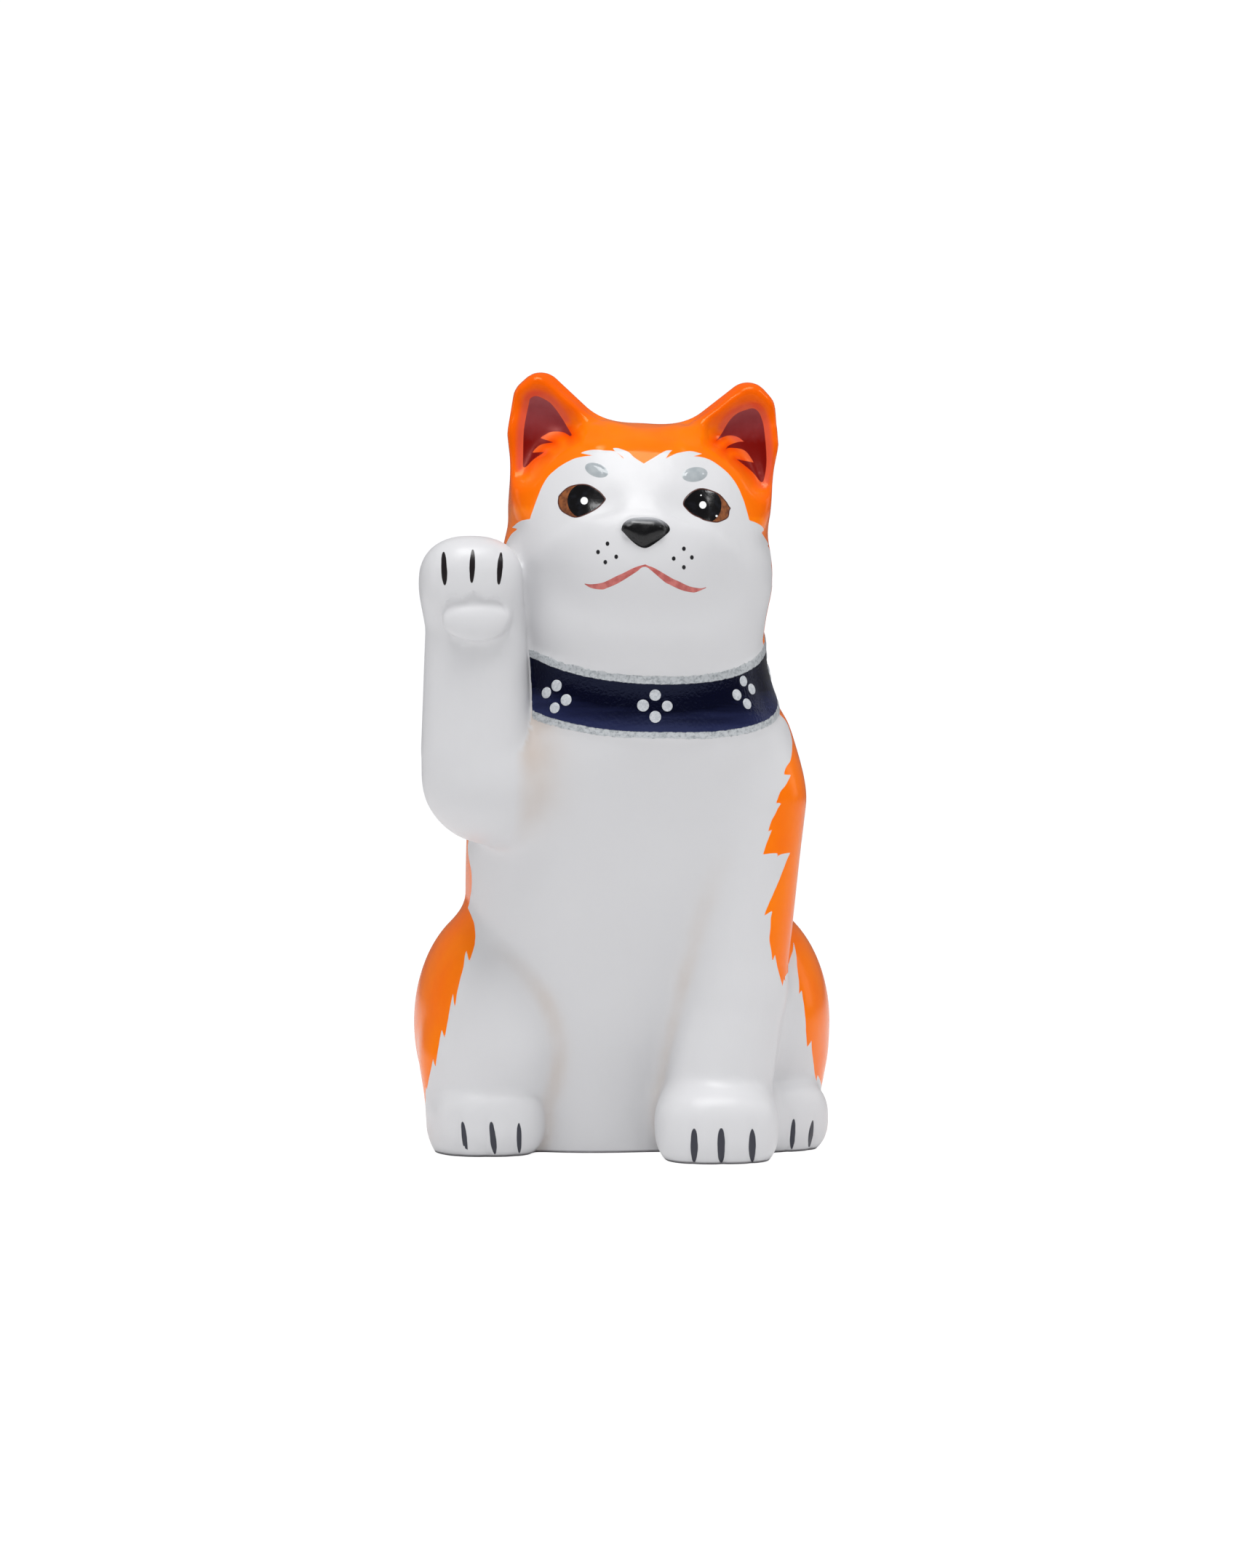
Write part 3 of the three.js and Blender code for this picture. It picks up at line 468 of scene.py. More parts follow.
def first_skin():
    """One point in each cell that the skin crosses, and two triangles at each crossed edge of the grid"""
    axes, value = grid_field()
    inside = value < 0
    cells_shape = [n - 1 for n in value.shape]
    count = sum(
        inside[i : i + cells_shape[0], j : j + cells_shape[1], k : k + cells_shape[2]].astype(np.int8)
        for i, j, k in CORNERS
    )
    crossed = (count > 0) & (count < 8)
    number = np.full(crossed.shape, -1)
    cells = np.argwhere(crossed)
    number[crossed] = np.arange(len(cells))
    total, rim = np.zeros((len(cells), 3)), np.zeros((len(cells), 3))
    crossings, rim_crossings = np.zeros(len(cells)), np.zeros(len(cells))
    base = cells[:, 2] == 0

    def corner(offset):
        at = cells + np.array(offset)
        return value[tuple(at.T)], np.stack([axes[i][at[:, i]] for i in range(3)], -1)

    for axis in range(3):
        for offset in CORNERS:
            if offset[axis]:
                continue
            other = list(offset)
            other[axis] = 1
            (va, pa), (vb, pb) = corner(offset), corner(other)
            cuts = (va < 0) != (vb < 0)
            t = np.where(cuts, va / np.where(cuts, va - vb, 1), 0)[:, None]
            point = np.where(cuts[:, None], pa + t * (pb - pa), 0)
            total += point
            crossings += cuts
            if axis < 2:
                rim += point
                rim_crossings += cuts
    points = total / crossings[:, None]
    centre = np.stack([axes[i][cells[:, i]] + GRID / 2 for i in range(3)], -1)
    on_rim = base & (rim_crossings > 0)
    points[base] = centre[base]
    points[on_rim] = rim[on_rim] / rim_crossings[on_rim, None]
    points[base, 2] = 0
    quads = []
    for axis in range(3):
        u, v = (axis + 1) % 3, (axis + 2) % 3
        here = [slice(1, n - 1) for n in value.shape]
        here[axis] = slice(0, value.shape[axis] - 1)
        there = list(here)
        there[axis] = slice(1, value.shape[axis])
        a, b = inside[tuple(here)], inside[tuple(there)]
        at = np.argwhere(a != b) + np.array([0 if i == axis else 1 for i in range(3)])
        keep = (at[:, 2] > 0) | (axis == 2)
        start = inside[tuple(at[keep].T)]
        ring = []
        for du, dv in ((1, 1), (0, 1), (0, 0), (1, 0)):
            cell = at[keep].copy()
            cell[:, u] -= du
            cell[:, v] -= dv
            ring.append(number[tuple(cell.T)])
        ring = np.stack(ring, -1)
        ring[~start] = ring[~start][:, ::-1]
        quads.append(ring)
    quads = np.concatenate(quads)
    points = settle(points, 3, GRID / 3)
    across = [length(*(points[quads[:, i]] - points[quads[:, i + 2]]).T) for i in (0, 1)]
    first = np.concatenate([quads[:, [0, 1, 2]], quads[:, [0, 2, 3]]])
    second = np.concatenate([quads[:, [1, 2, 3]], quads[:, [1, 3, 0]]])
    short = np.tile(across[0] <= across[1], 2)
    return points, np.where(short[:, None], first, second)


skin, faces = first_skin()
body_middle = (skin.min(0) + skin.max(0)) / 2
body_middle[2] = 0

# The paint's outlines are stated on a full-size front view, mm to the right of the body's axis and up from
# the table, seen from the height of the chest and a little from the dog's right. In each outline a point
# given twice is a sharp corner.
FRONT_AZIMUTH = -11
FRONT_DISTANCE = 620
FRONT_EYE = (0.59, 73.36)
front_turn = math.radians(FRONT_AZIMUTH)
front_back = np.array([math.sin(front_turn), -math.cos(front_turn), 0])
front_right = np.array([math.cos(front_turn), math.sin(front_turn), 0])
front_up = np.array([0, 0, 1])
front_eye = front_back * FRONT_DISTANCE + front_right * FRONT_EYE[0] + front_up * FRONT_EYE[1]

# The face's white, right and left of its point on the brow
FACE_MARKING = [
    (3.9, 138.4), (3.9, 138.4), (2, 139.6), (0.8, 140.7), (-1.3, 141.5), (-2.4, 141.5), (-2.4, 141.5),
    (-0.5, 139.6), (0, 139.3), (0, 139.3), (-0.8, 140.1), (-2.7, 141), (-7.5, 141), (-8.9, 140.5),
    (-8.9, 140.5), (-6.1, 140), (-6.1, 140), (-9.1, 139.7), (-11.1, 139), (-14.1, 137.1),
    (-16.3, 134.6), (-18.2, 130), (-19.2, 127.1), (-19.2, 127.1), (-20.1, 127), (-21.8, 126.3),
    (-22.8, 125.4), (-22.8, 125.4), (-21.6, 125.1), (-21.6, 125.1), (-23, 124), (-24.3, 121.5),
    (-24.3, 121.5),
]
FACE_MARKING_LEFT = [
    (3.9, 138.4), (3.9, 138.4), (7.9, 140.8), (9.7, 141.1), (9.7, 141.1), (9.1, 140.6), (8.2, 139.3),
    (8.2, 139.3), (10.7, 140.5), (13.2, 140.8), (15.7, 140.4), (15.7, 140.4), (13.9, 139.9),
    (13.9, 139.9), (17.2, 139.2), (21, 136.4), (23.4, 132.8), (25.3, 126.9), (25.3, 126.9),
    (27.2, 126.1), (28.3, 124.8), (28.3, 124.8), (27.7, 124.5), (27.7, 124.5), (29.7, 121.9),
    (29.7, 121.9), (29, 121.8), (29, 121.8), (29.9, 120.1), (30.5, 117.8), (30.5, 117.8),
]
EAR_RIGHT = [
    (-19.1, 151.6), (-17.9, 152.1), (-16, 151.3), (-14.7, 150.3), (-12.9, 147.9), (-10.7, 144.2),
    (-10.7, 144.2), (-11, 143.9), (-11, 143.9), (-12.3, 144.7), (-13.8, 144.9), (-15.3, 144.7),
    (-17.2, 143.6), (-17.2, 143.6), (-14.4, 142.7), (-14.4, 142.7), (-16.8, 142.3), (-18.1, 141.4),
    (-18.7, 140.6), (-18.7, 140.6), (-17.2, 140.7), (-16.3, 140.7), (-16.3, 140.7), (-18.4, 139.3),
    (-19.7, 138), (-20.3, 137.6), (-20.6, 137.9), (-20.6, 139.5), (-20.4, 145.4), (-19.4, 150.6),
]
EAR_LEFT = [
    (18.5, 142.9), (18.5, 142.9), (19.7, 144.5), (21.2, 147), (22.9, 148.6), (25, 149.4), (25.9, 149.6),
    (26.6, 149.4), (27.2, 148.8), (27.7, 147.8), (28.3, 145.4), (28.8, 139.2), (28.3, 135.3),
    (27.8, 134.6), (27.2, 135.1), (25.8, 136.8), (22.7, 139.3), (22.7, 139.3), (26.2, 138.6),
    (26.2, 138.6), (25.2, 140.2), (24.4, 141), (23.4, 141.4), (21.3, 141.6), (20.4, 141.2),
    (20.4, 141.2), (21.2, 142.1), (23.1, 142.8), (24.3, 142.8), (24.3, 142.8), (22.9, 143.8),
    (21.2, 144.1), (19.6, 143.6),
]
EYE_RIGHT = [
    (-13.36, 130.48), (-13.28, 131.36), (-13.06, 131.95), (-11.44, 133.43), (-9.37, 134.02),
    (-7.45, 133.95), (-5.68, 132.99), (-4.8, 132.25), (-3.99, 131.22), (-3.99, 131.22), (-4.35, 130.63),
    (-5.68, 129.37), (-8.04, 128.12), (-10.11, 127.6), (-12.03, 128.41), (-12.77, 129),
    (-13.14, 129.59),
]
EYE_LEFT = [
    (12.03, 130.18), (12.47, 131.36), (13.95, 132.69), (15.87, 133.21), (18.82, 132.25),
    (20.44, 130.63), (20.89, 129.89), (21.33, 129.3), (21.33, 129.3), (21.11, 128.85), (20.81, 127.53),
    (19.41, 126.79), (18.38, 126.61), (16.31, 127.01), (15.28, 127.53), (14.24, 127.97),
    (13.36, 128.56), (12.62, 129.3),
]
NOSE_PAINT = [
    (-0.7, 124.9), (-0.2, 126.3), (1.2, 127.2), (3.2, 127.5), (6.1, 127.4), (8.2, 126.5), (9.2, 125.2),
    (8.5, 124), (5.1, 121.5), (3.3, 121.4), (1.4, 122.7), (-0.4, 124.6),
]
MOUTH = [
    (-8.04, 113.95), (-8.04, 113.95), (-6.86, 113.8), (-4.94, 114.02), (-3.76, 114.39), (-1.55, 115.5),
    (-0.37, 116.01), (1.99, 117.19), (3.91, 117.78), (4.35, 117.78), (4.94, 117.49), (6.13, 117.05),
    (9.67, 114.98), (10.85, 114.46), (13.21, 113.36), (15.42, 112.99), (16.46, 113.21), (16.46, 113.21),
    (14.54, 112.4), (13.51, 112.35), (11.44, 112.84), (9.08, 113.95), (8.04, 114.54), (4.94, 117.19),
    (3.91, 117.52), (3.17, 117.19), (2.29, 116.46), (-1.25, 114.24), (-3.62, 113.21), (-4.65, 112.91),
    (-6.72, 113.21),
]
# The body's white in front, from the collar down the edge of the orange coat to the haunch
COAT_LEFT = [
    (29.4, 88.7), (29.4, 88.7), (30.6, 88.3), (31.8, 87.2), (32.7, 86.1), (33.4, 84.6), (33.9, 82.7),
    (34, 81), (33.9, 79.6), (33.6, 78.1), (32.8, 76.8), (32.3, 75.3), (32.3, 75.3), (33.7, 75.2),
    (33.7, 75.2), (33.1, 73.9), (32.5, 72.9), (31.5, 71.6), (30.6, 69.3), (30.6, 69.3), (31.2, 69.5),
    (31.8, 69.4), (31.8, 69.4), (31.2, 68.6), (30.5, 67.2), (29.7, 65.7), (29.1, 63.7), (29.1, 63.7),
    (29.9, 64.1), (29.9, 64.1), (29.3, 62.7), (28.6, 60.8), (28, 59), (28, 59), (28.7, 59.1),
    (29.4, 59.2), (30.3, 59.3), (31.1, 59.3), (31.1, 59.3), (30.8, 58.4), (30.8, 58.4), (31.5, 59),
    (32.7, 59.3), (33.6, 59.4), (33.6, 59.4), (33.1, 58.3), (32.5, 56.8), (31.8, 55.1), (30.9, 52.8),
    (30, 50.8), (29.2, 49), (28.3, 46.6), (28.3, 46.6), (29.2, 47.2), (30, 47.7), (30, 47.7),
    (29.7, 46.2), (29.6, 44.3), (29.4, 42.1), (29.6, 40.3), (30, 37.2), (30, 37.2), (30.5, 38.8),
    (30.5, 38.8), (30.8, 37.3), (31.2, 35.4), (32, 32.3), (32, 32.3), (32.3, 33.8), (32.3, 33.8),
    (32.7, 33.2), (32.7, 33.2), (32.8, 34.7), (33.3, 36.9), (33.3, 36.9), (33.9, 38.8), (34.2, 40.1),
    (34.2, 41.6), (34.2, 41.6), (34.6, 39.9), (34.9, 37.6), (35.1, 35.4), (35.4, 30.7), (35.4, 30.7),
    (35.9, 31.6), (35.9, 31.6), (36.2, 29.5), (36.5, 27.3), (36.7, 25.1), (36.8, 22.9), (37, 19.9),
    (37, 19.9), (37.9, 21.3), (37.9, 21.3), (38, 19.2), (38.3, 17), (39, 13), (39, 13), (39.2, 14.3),
    (39.2, 14.3), (39.9, 12), (39.9, 12),
]
COAT_RIGHT = [
    (-31.8, 60.8), (-31.8, 60.8), (-31.7, 59), (-31.4, 57.3), (-31.1, 55.8), (-31, 53.9),
    (-31.1, 51.7), (-31.4, 49.9), (-31.8, 48.3), (-31.8, 48.3), (-31.2, 46.8), (-30.6, 45.3),
    (-30.3, 43.5), (-30.3, 41.8), (-30.6, 40), (-31.4, 37.2), (-31.4, 37.2), (-31.8, 38.2),
    (-32.1, 39.6), (-32.1, 39.6), (-32.3, 38.8), (-32.7, 36.2), (-33.3, 33.9), (-33.7, 32.2),
    (-34.4, 28), (-34.4, 28), (-34.6, 29.1), (-34.8, 30.8), (-34.8, 30.8), (-35.2, 29.1), (-35.6, 27),
    (-35.9, 25.1), (-36.5, 21.8), (-36.5, 21.8), (-36.8, 22.7), (-37.1, 23.6), (-37.1, 23.6),
    (-37.4, 22.1), (-37.7, 20.2), (-38, 18.5), (-38.3, 15.9), (-38.3, 15.9), (-38.6, 16.5),
    (-38.8, 17.7), (-38.8, 17.7), (-39.2, 15.8), (-39.6, 14), (-40.1, 11.2), (-40.1, 11.2),
    (-40.3, 12.1), (-40.3, 12.1), (-40.7, 8.9), (-40.7, 8.9),
]
PALM = [
    (-37.1, 106.7), (-37.1, 108.5), (-36.4, 110.1), (-34.8, 111.1), (-32.8, 111), (-30.6, 112.3),
    (-30.6, 112.3), (-29.7, 111.6), (-28.1, 111), (-26.3, 111.3), (-25, 110.4), (-24.1, 108.8),
    (-23.7, 107), (-24.4, 104.9), (-26.3, 103.3), (-29.9, 102.6), (-33.6, 103.3), (-36.2, 104.9),
]
# Round marks: (right, up), (half width, half height), turn in degrees
PUPILS = [
    ((-8.0, 130.8), (3.6, 3.6), 0), ((-5.6, 131.2), (4.1, 3.6), 0), ((15.9, 129.9), (3.75, 3.75), 0),
    ((13.8, 129.9), (4.2, 3.8), 0),
]
GLINTS = [
    ((-8.19, 130.84), (0.74, 0.76), 0), ((15.87, 129.99), (0.72, 0.74), 0),
    ((15.5, 131.95), (0.16, 0.16), 0), ((18.67, 127.75), (0.22, 0.22), 0),
]
WHISKERS = [
    (at, (0.38, 0.46), 0)
    for at in (
        (-3.47, 122.14), (-5.39, 120.44), (-1.7, 119.48), (-3.91, 118.38),
        (12.03, 121.11), (9.96, 119.11), (13.65, 119.34), (12.03, 117.34),
    )
]
BROWS = [((-5.68, 137.05), (2.44, 1.36), -20), ((14.24, 136.17), (2.6, 1.48), 8)]
CLAWS = [
    ((-36.6, 117.1), (0.6, 3.4), 2), ((-30.9, 117.6), (0.55, 3.4), -2), ((-25.3, 117.1), (0.55, 3.3), -4),
    ((-32.5, 1.5), (0.55, 3.3), 7), ((-26.7, 1.5), (0.6, 3.3), 7), ((-21.4, 1.5), (0.5, 3.1), 1),
    ((14.1, 0), (0.75, 3.4), 0), ((19.6, 0), (0.8, 3.5), 0), ((25.9, 0), (0.7, 3.4), 0),
    ((34.1, 2.3), (0.5, 3.1), -4), ((37.8, 2.4), (0.45, 2.8), -8),
]


def to_front(points):
    """Where the body's points lie on the drawing"""
    q = points - front_eye
    depth = -(q @ front_back)
    right = FRONT_EYE[0] + FRONT_DISTANCE * (q @ front_right) / depth
    return np.stack([right, FRONT_EYE[1] + FRONT_DISTANCE * (q @ front_up) / depth], -1)


def drawn(outline):
    """Smooth closed line through an outline's points. A point given twice is a sharp corner."""
    b = np.array(outline, float)
    a, c, d = np.roll(b, 1, 0), np.roll(b, -1, 0), np.roll(b, -2, 0)
    steps = [
        b + (c - a) * t / 2 + (2 * a - 5 * b + 4 * c - d) * t * t / 2 + (3 * b - a - 3 * c + d) * t**3 / 2
        for t in (0, 0.25, 0.5, 0.75)
    ]
    moves = length(*(c - b).T) > 0
    return np.stack(steps, 1)[moves].reshape(-1, 2)


def painted(places, line, reach=3.0):
    """Distance to a closed line, positive inside, as far as reach"""
    depth = np.full(len(places), -float(reach))
    (x0, y0), (x1, y1) = line.T, np.roll(line, -1, 0).T
    order = np.argsort(places[:, 1])
    for part in np.array_split(order, 1 + len(order) // 2000):
        x, y = places[part, 0, None], places[part, 1, None]
        use = (np.maximum(y0, y1) > y.min() - reach) & (np.minimum(y0, y1) < y.max() + reach)
        if not use.any():
            continue
        ax, ay, bx, by = x0[use], y0[use], x1[use], y1[use]
        ex, ey = bx - ax, by - ay
        t = np.clip(((x - ax) * ex + (y - ay) * ey) / np.maximum(ex * ex + ey * ey, 1e-9), 0, 1)
        near = length(x - ax - t * ex, y - ay - t * ey).min(1)
        rises = np.where(ey == 0, 1, ey)
        crosses = ((ay > y) != (by > y)) & (x < ax + (y - ay) / rises * ex)
        depth[part] = np.where(crosses.sum(1) % 2 == 1, 1, -1) * np.minimum(near, reach)
    return depth


def round_mark(places, middle, half, turn):
    """Distance to an oval, right near its edge, positive inside"""
    a = math.radians(turn)
    x, y = (places - middle).T
    u, v = (x * math.cos(a) + y * math.sin(a)) / half[0], (y * math.cos(a) - x * math.sin(a)) / half[1]
    far = length(u, v)
    return far * (1 - far) / np.maximum(length(u / half[0], v / half[1]), 1e-6)


skin_tree = BVHTree.FromPolygons(skin.tolist(), faces.tolist())
ARM_CLEARANCE = 0.5
SIGHT_STEP = 0.3
AIM_STEP, AIM_TRIES = 0.15, 60


def behind_paw(start, way):
    """First place on the skin along a line of sight that is not on the raised forearm"""
    hit = skin_tree.ray_cast(start, way)[0]
    while hit and forearm(list(np.array(hit))) < ARM_CLEARANCE:
        hit = skin_tree.ray_cast(hit + way * SIGHT_STEP, way)[0]
    return hit


def on_casting(outline):
    """Where the drawing's points lie on the skin. One beside the figure moves towards its axis."""
    places = []
    for right, up in outline:
        for k in range(AIM_TRIES):
            aim = front_right * (right - math.copysign(AIM_STEP * k, right)) + front_up * up
            hit = behind_paw(Vector(front_eye), Vector(aim - front_eye).normalized())
            if hit:
                break
        places.append(hit)
    return np.array(places)


HEAD_ROUND, BODY_ROUND = 26, 32  # radii of the drums that head and body are rolled out from


def head_places(points):
    """The head's skin laid flat: mm round its middle from the nose, mm up"""
    q = frame_at(points.T, **HEAD)
    return np.stack([HEAD_ROUND * np.arctan2(q[0], -q[1]), q[2]], -1)


def body_places(points):
    """The body's skin laid flat: mm round its axis from the chest, mm up"""
    x, y, z = points.T
    _, _, front, back = trunk_sizes(z)
    return np.stack([BODY_ROUND * np.arctan2(x - HIND_MIDDLE, (front + back) / 2 - y), z], -1)


LOCK_UNEVEN, LOCK_TURN = 0.3, 2.4
LOCK_NOTCH = (0.25, 0.35)


def locks(start, end, count, drop, lean):
    """An edge of pointed locks of hair between two places, each given as a sharp corner"""
    edge = []
    for k in range(count):
        at = [start[i] + (end[i] - start[i]) * (k + 0.5) / count for i in (0, 1)]
        deep = drop * (1 + LOCK_UNEVEN * math.sin(LOCK_TURN * k))
        edge += [(at[0] + lean, at[1] - deep)] * 2
        edge += [(at[0] + lean * LOCK_NOTCH[0], at[1] + deep * LOCK_NOTCH[1])] * 2
    return edge


# The face's white runs on under the jaw and ends beneath the collar
UNDER_JAW = -34
face_right, face_left = (head_places(on_casting(side)) for side in (FACE_MARKING, FACE_MARKING_LEFT))
right_jaw, left_jaw = face_right[-1], face_left[-1]
FACE_WHITE = drawn(
    [tuple(p) for p in face_right]
    + [(right_jaw[0] - 0.5, right_jaw[1] - 4), (right_jaw[0] + 1, -18)]
    + [(right_jaw[0] + 2, UNDER_JAW)] * 2
    + [(left_jaw[0] - 1, UNDER_JAW)] * 2
    + [(left_jaw[0] + 0.5, -20), (left_jaw[0] + 1.5, left_jaw[1] - 5)]
    + [tuple(p) for p in face_left[::-1]]
)

# The body's white is the chest, and all that lies under the coat's hem of locks, which is guessed behind
HEM = dict(count=11, drop=1.6, lean=-1.2)
HEM_BEHIND = 8.5
WHITE_FOOT, WHITE_TOP = -9, 130
OVER_SEAM = 12
flank_left, flank_right = (body_places(on_casting(side)) for side in (COAT_LEFT, COAT_RIGHT))
half_round = BODY_ROUND * math.pi
seam = half_round + OVER_SEAM
hem_left = locks(flank_left[-1], (half_round, HEM_BEHIND), **HEM)
hem_start = (-flank_right[-1][0], flank_right[-1][1])
hem_right = [(-s, z) for s, z in locks(hem_start, (half_round, HEM_BEHIND), **HEM)]
CHEST_WHITE = drawn(
    [(flank_left[0][0], WHITE_TOP)] * 2
    + [tuple(p) for p in flank_left]
    + hem_left
    + [(seam, HEM_BEHIND)] * 2
    + [(seam, WHITE_FOOT)] * 2
    + [(-seam, WHITE_FOOT)] * 2
    + [(-seam, HEM_BEHIND)] * 2
    + hem_right[::-1]
    + [tuple(p) for p in flank_right[::-1]]
    + [(-42, 76), (-40, 90)]
    + [(-38, WHITE_TOP)] * 2
)
front_lines = {
    "ear_lining": [drawn(EAR_RIGHT), drawn(EAR_LEFT)],
    "eyes": [drawn(EYE_RIGHT), drawn(EYE_LEFT)],
    "nose_lacquer": [drawn(NOSE_PAINT)],
    "lips": [drawn(MOUTH)],
}


# The ear's inner rim has a crest, a line from the tip down to a small boss on the skull, and falls off
# beyond it. The paw's pad is sunk under the toes and full at its lower edge. The brows are low domes.
EAR_CRESTS = [
    [
        (-18.2, 156.3), (-17.4, 155.8), (-15.6, 153.9), (-14.2, 151.8), (-11.6, 149.6), (-9.4, 147.2),
        (-7.2, 144.9),
    ],
    [(27.2, 154.6), (25.2, 154), (21.3, 151.4), (19.2, 149.2), (16.6, 147.4), (14.9, 145.6), (13.6, 144.2)],
]
CREST_SLOPE, CREST_SOFT, CREST_WIDE = 0.3, 0.4, 2.6
EAR_BOSSES = [((-6.2, 144), (2, 1.8), 0), ((13.5, 143.7), (2.1, 1.9), 0)]
BOSS_HEIGHT, BOSS_SKIRT = 0.4, 1.8
EAR_FOOT = 12
PALM_TOP, PALM_FOOT = 112, 102.6
PALM_SUNK, PALM_RISE = 0.7, 1.3
BROW_HEIGHT = 0.2


def ear_relief(points):
    on_drawing = to_front(points)
    q = frame_at(points.T, **HEAD)
    front = smooth((EAR_PLATE["y"] - q[1]) / 2.5)
    at = (front > 0) & (q[2] > EAR_FOOT)
    on_plate = smooth((pebble(mirrored(q), (0, 0, 0), **SKULL) - 0.5) / 2)
    height = np.zeros(len(points))
    for crest, side in zip(EAR_CRESTS, (1, -1)):
        (x0, y0), (x1, y1) = crest[0], crest[-1]
        edge = np.array(crest + [(x1 + side * 9, y1 + 1), (x0 + side * 9, y0 + 9), (x0, y0 + 9)], float)
        beyond = painted(on_drawing[at], edge, CREST_WIDE)
        fall = (beyond + np.sqrt(beyond**2 + CREST_SOFT**2)) / 2
        height[at] -= CREST_SLOPE * fall * on_plate[at]
    for boss in EAR_BOSSES:
        height[at] += BOSS_HEIGHT * smooth(1 + round_mark(on_drawing[at], *boss) / BOSS_SKIRT)
    return height * front


def palm_relief(points):
    height = np.zeros(len(points))
    at = (points[:, 1] < -24) & (points[:, 2] > 96) & (points[:, 2] < 118) & (points[:, 0] < -22)
    on_drawing = to_front(points[at])
    inside = smooth((painted(on_drawing, drawn(PALM), 1) + 0.35) / 0.7)
    down = (PALM_TOP - on_drawing[:, 1]) / (PALM_TOP - PALM_FOOT)
    height[at] = (PALM_RISE * down - PALM_SUNK) * inside
    return height


TAIL_WHITE = 10  # the curl is white from this link on


def tail_white(p):
    links = np.array([limb(p, a, b, (ra, rb)) for (a, ra), (b, rb) in zip(TAIL, TAIL[1:])])
    end, rest = links[TAIL_WHITE:].min(0), links[:TAIL_WHITE].min(0)
    return np.minimum((rest - end) / 2, 0.9 - end)


PAINT_REACH = 3
RAISED_PALM = dict(above=60, front=-27)
TOE_FRONT = -14
LINING_FOOT = 8


def paint_at(points):
    """How deep each point lies in each painted field, mm, negative outside it"""
    p = list(points.T)
    on_drawing = to_front(points)
    q = frame_at(p, **HEAD)
    collar = above_collar(p)
    on_head = collar > 0
    white = np.empty(len(points))
    white[on_head] = painted(head_places(points[on_head]), FACE_WHITE)
    white[~on_head] = painted(body_places(points[~on_head]), CHEST_WHITE)
    arm = np.full(len(points), -float(PAINT_REACH))
    high = (p[2] > ARM_FOOT) & (p[0] < ARM_INNER)
    s = [c[high] for c in p]
    rest = join(trunk(s), head(s), HEAD["blend"])
    rest = rest - COLLAR["raised"] * (np.abs(above_collar(s)) < COLLAR["half"])
    arm[high] = np.clip(rest - forearm(s) + 0.1, -PAINT_REACH, PAINT_REACH)
    tip = np.full(len(points), -float(PAINT_REACH))
    behind = (p[1] > 30) & (p[2] < HIND_TOP)
    tip[behind] = np.clip(tail_white([c[behind] for c in p]), -PAINT_REACH, PAINT_REACH)
    fields = {"white_coat": np.maximum.reduce([white, arm, tip]), "arm": arm, "collar": collar}
    before = {"ear_lining": (q[1] < EAR_PLATE["y"]) & (q[2] > LINING_FOOT)}
    face = (q[1] < -12) & (q[2] > -14)
    for name, lines in front_lines.items():
        at = before.get(name, face)
        fields[name] = np.full(len(points), -float(PAINT_REACH))
        for line in lines:
            fields[name][at] = np.maximum(fields[name][at], painted(on_drawing[at], line))
    marks = {
        "pupils": (PUPILS, face),
        "glints": (GLINTS, face),
        "whiskers": (WHISKERS, face),
        "brows": (BROWS, face),
        "claws": (CLAWS, p[1] < np.where(p[2] > RAISED_PALM["above"], RAISED_PALM["front"], TOE_FRONT)),
    }
    for name, (rounds, at) in marks.items():
        fields[name] = np.full(len(points), -float(PAINT_REACH))
        for mark in rounds:
            fields[name][at] = np.maximum(fields[name][at], round_mark(on_drawing[at], *mark))
    return fields


def split(points, faces, marked_edges):
    """Halves some edges of a mesh. Returns the new points' parents and the faces"""
    ends = np.sort(faces[:, [[0, 1], [1, 2], [2, 0]]], -1).reshape(-1, 2)
    keys, index = np.unique(ends[:, 0] * len(points) + ends[:, 1], return_inverse=True)
    a, b = keys // len(points), keys % len(points)
    marked = marked_edges(a, b)
    number = np.full(len(keys), -1)
    number[marked] = len(points) + np.arange(marked.sum())
    middle = number[index].reshape(-1, 3)
    count = (middle >= 0).sum(1)
    turn = np.where(count == 1, (middle >= 0).argmax(1), np.where(count == 2, (middle < 0).argmax(1) + 1, 0))
    around = (turn[:, None] + np.arange(3)) % 3
    v = np.take_along_axis(faces, around, 1).T
    m = np.take_along_axis(middle, around, 1).T
    corners = {
        0: [(v[0], v[1], v[2])],
        1: [(v[0], m[0], v[2]), (m[0], v[1], v[2])],
        2: [(m[0], v[1], m[1]), (v[0], m[0], m[1]), (v[0], m[1], v[2])],
        3: [(v[0], m[0], m[2]), (m[0], v[1], m[1]), (m[2], m[1], v[2]), (m[0], m[1], m[2])],
    }
    pieces = [np.stack(c, -1)[count == n] for n, cs in corners.items() for c in cs]
    return (points[a[marked]] + points[b[marked]]) / 2, np.concatenate(pieces)


# The mesh is finer where paint ends and where relief rises, so that both run clean. Lengths are the least
# edges that are halved.
FINEST = dict(
    white_coat=0.34,
    ear_lining=0.34,
    eyes=0.2,
    nose_lacquer=0.3,
    lips=0.15,
    pupils=0.2,
    brows=0.2,
    claws=0.2,
    glints=0.12,
    whiskers=0.1,
)
FINER_ABOVE = 132
FINER, COARSER = 0.9, 1.4
RELIEF_FINEST, RELIEF_LEAST = 0.5, 0.015
ROUNDS = 3
paint = paint_at(skin)
modelled = ear_relief(skin) + palm_relief(skin)


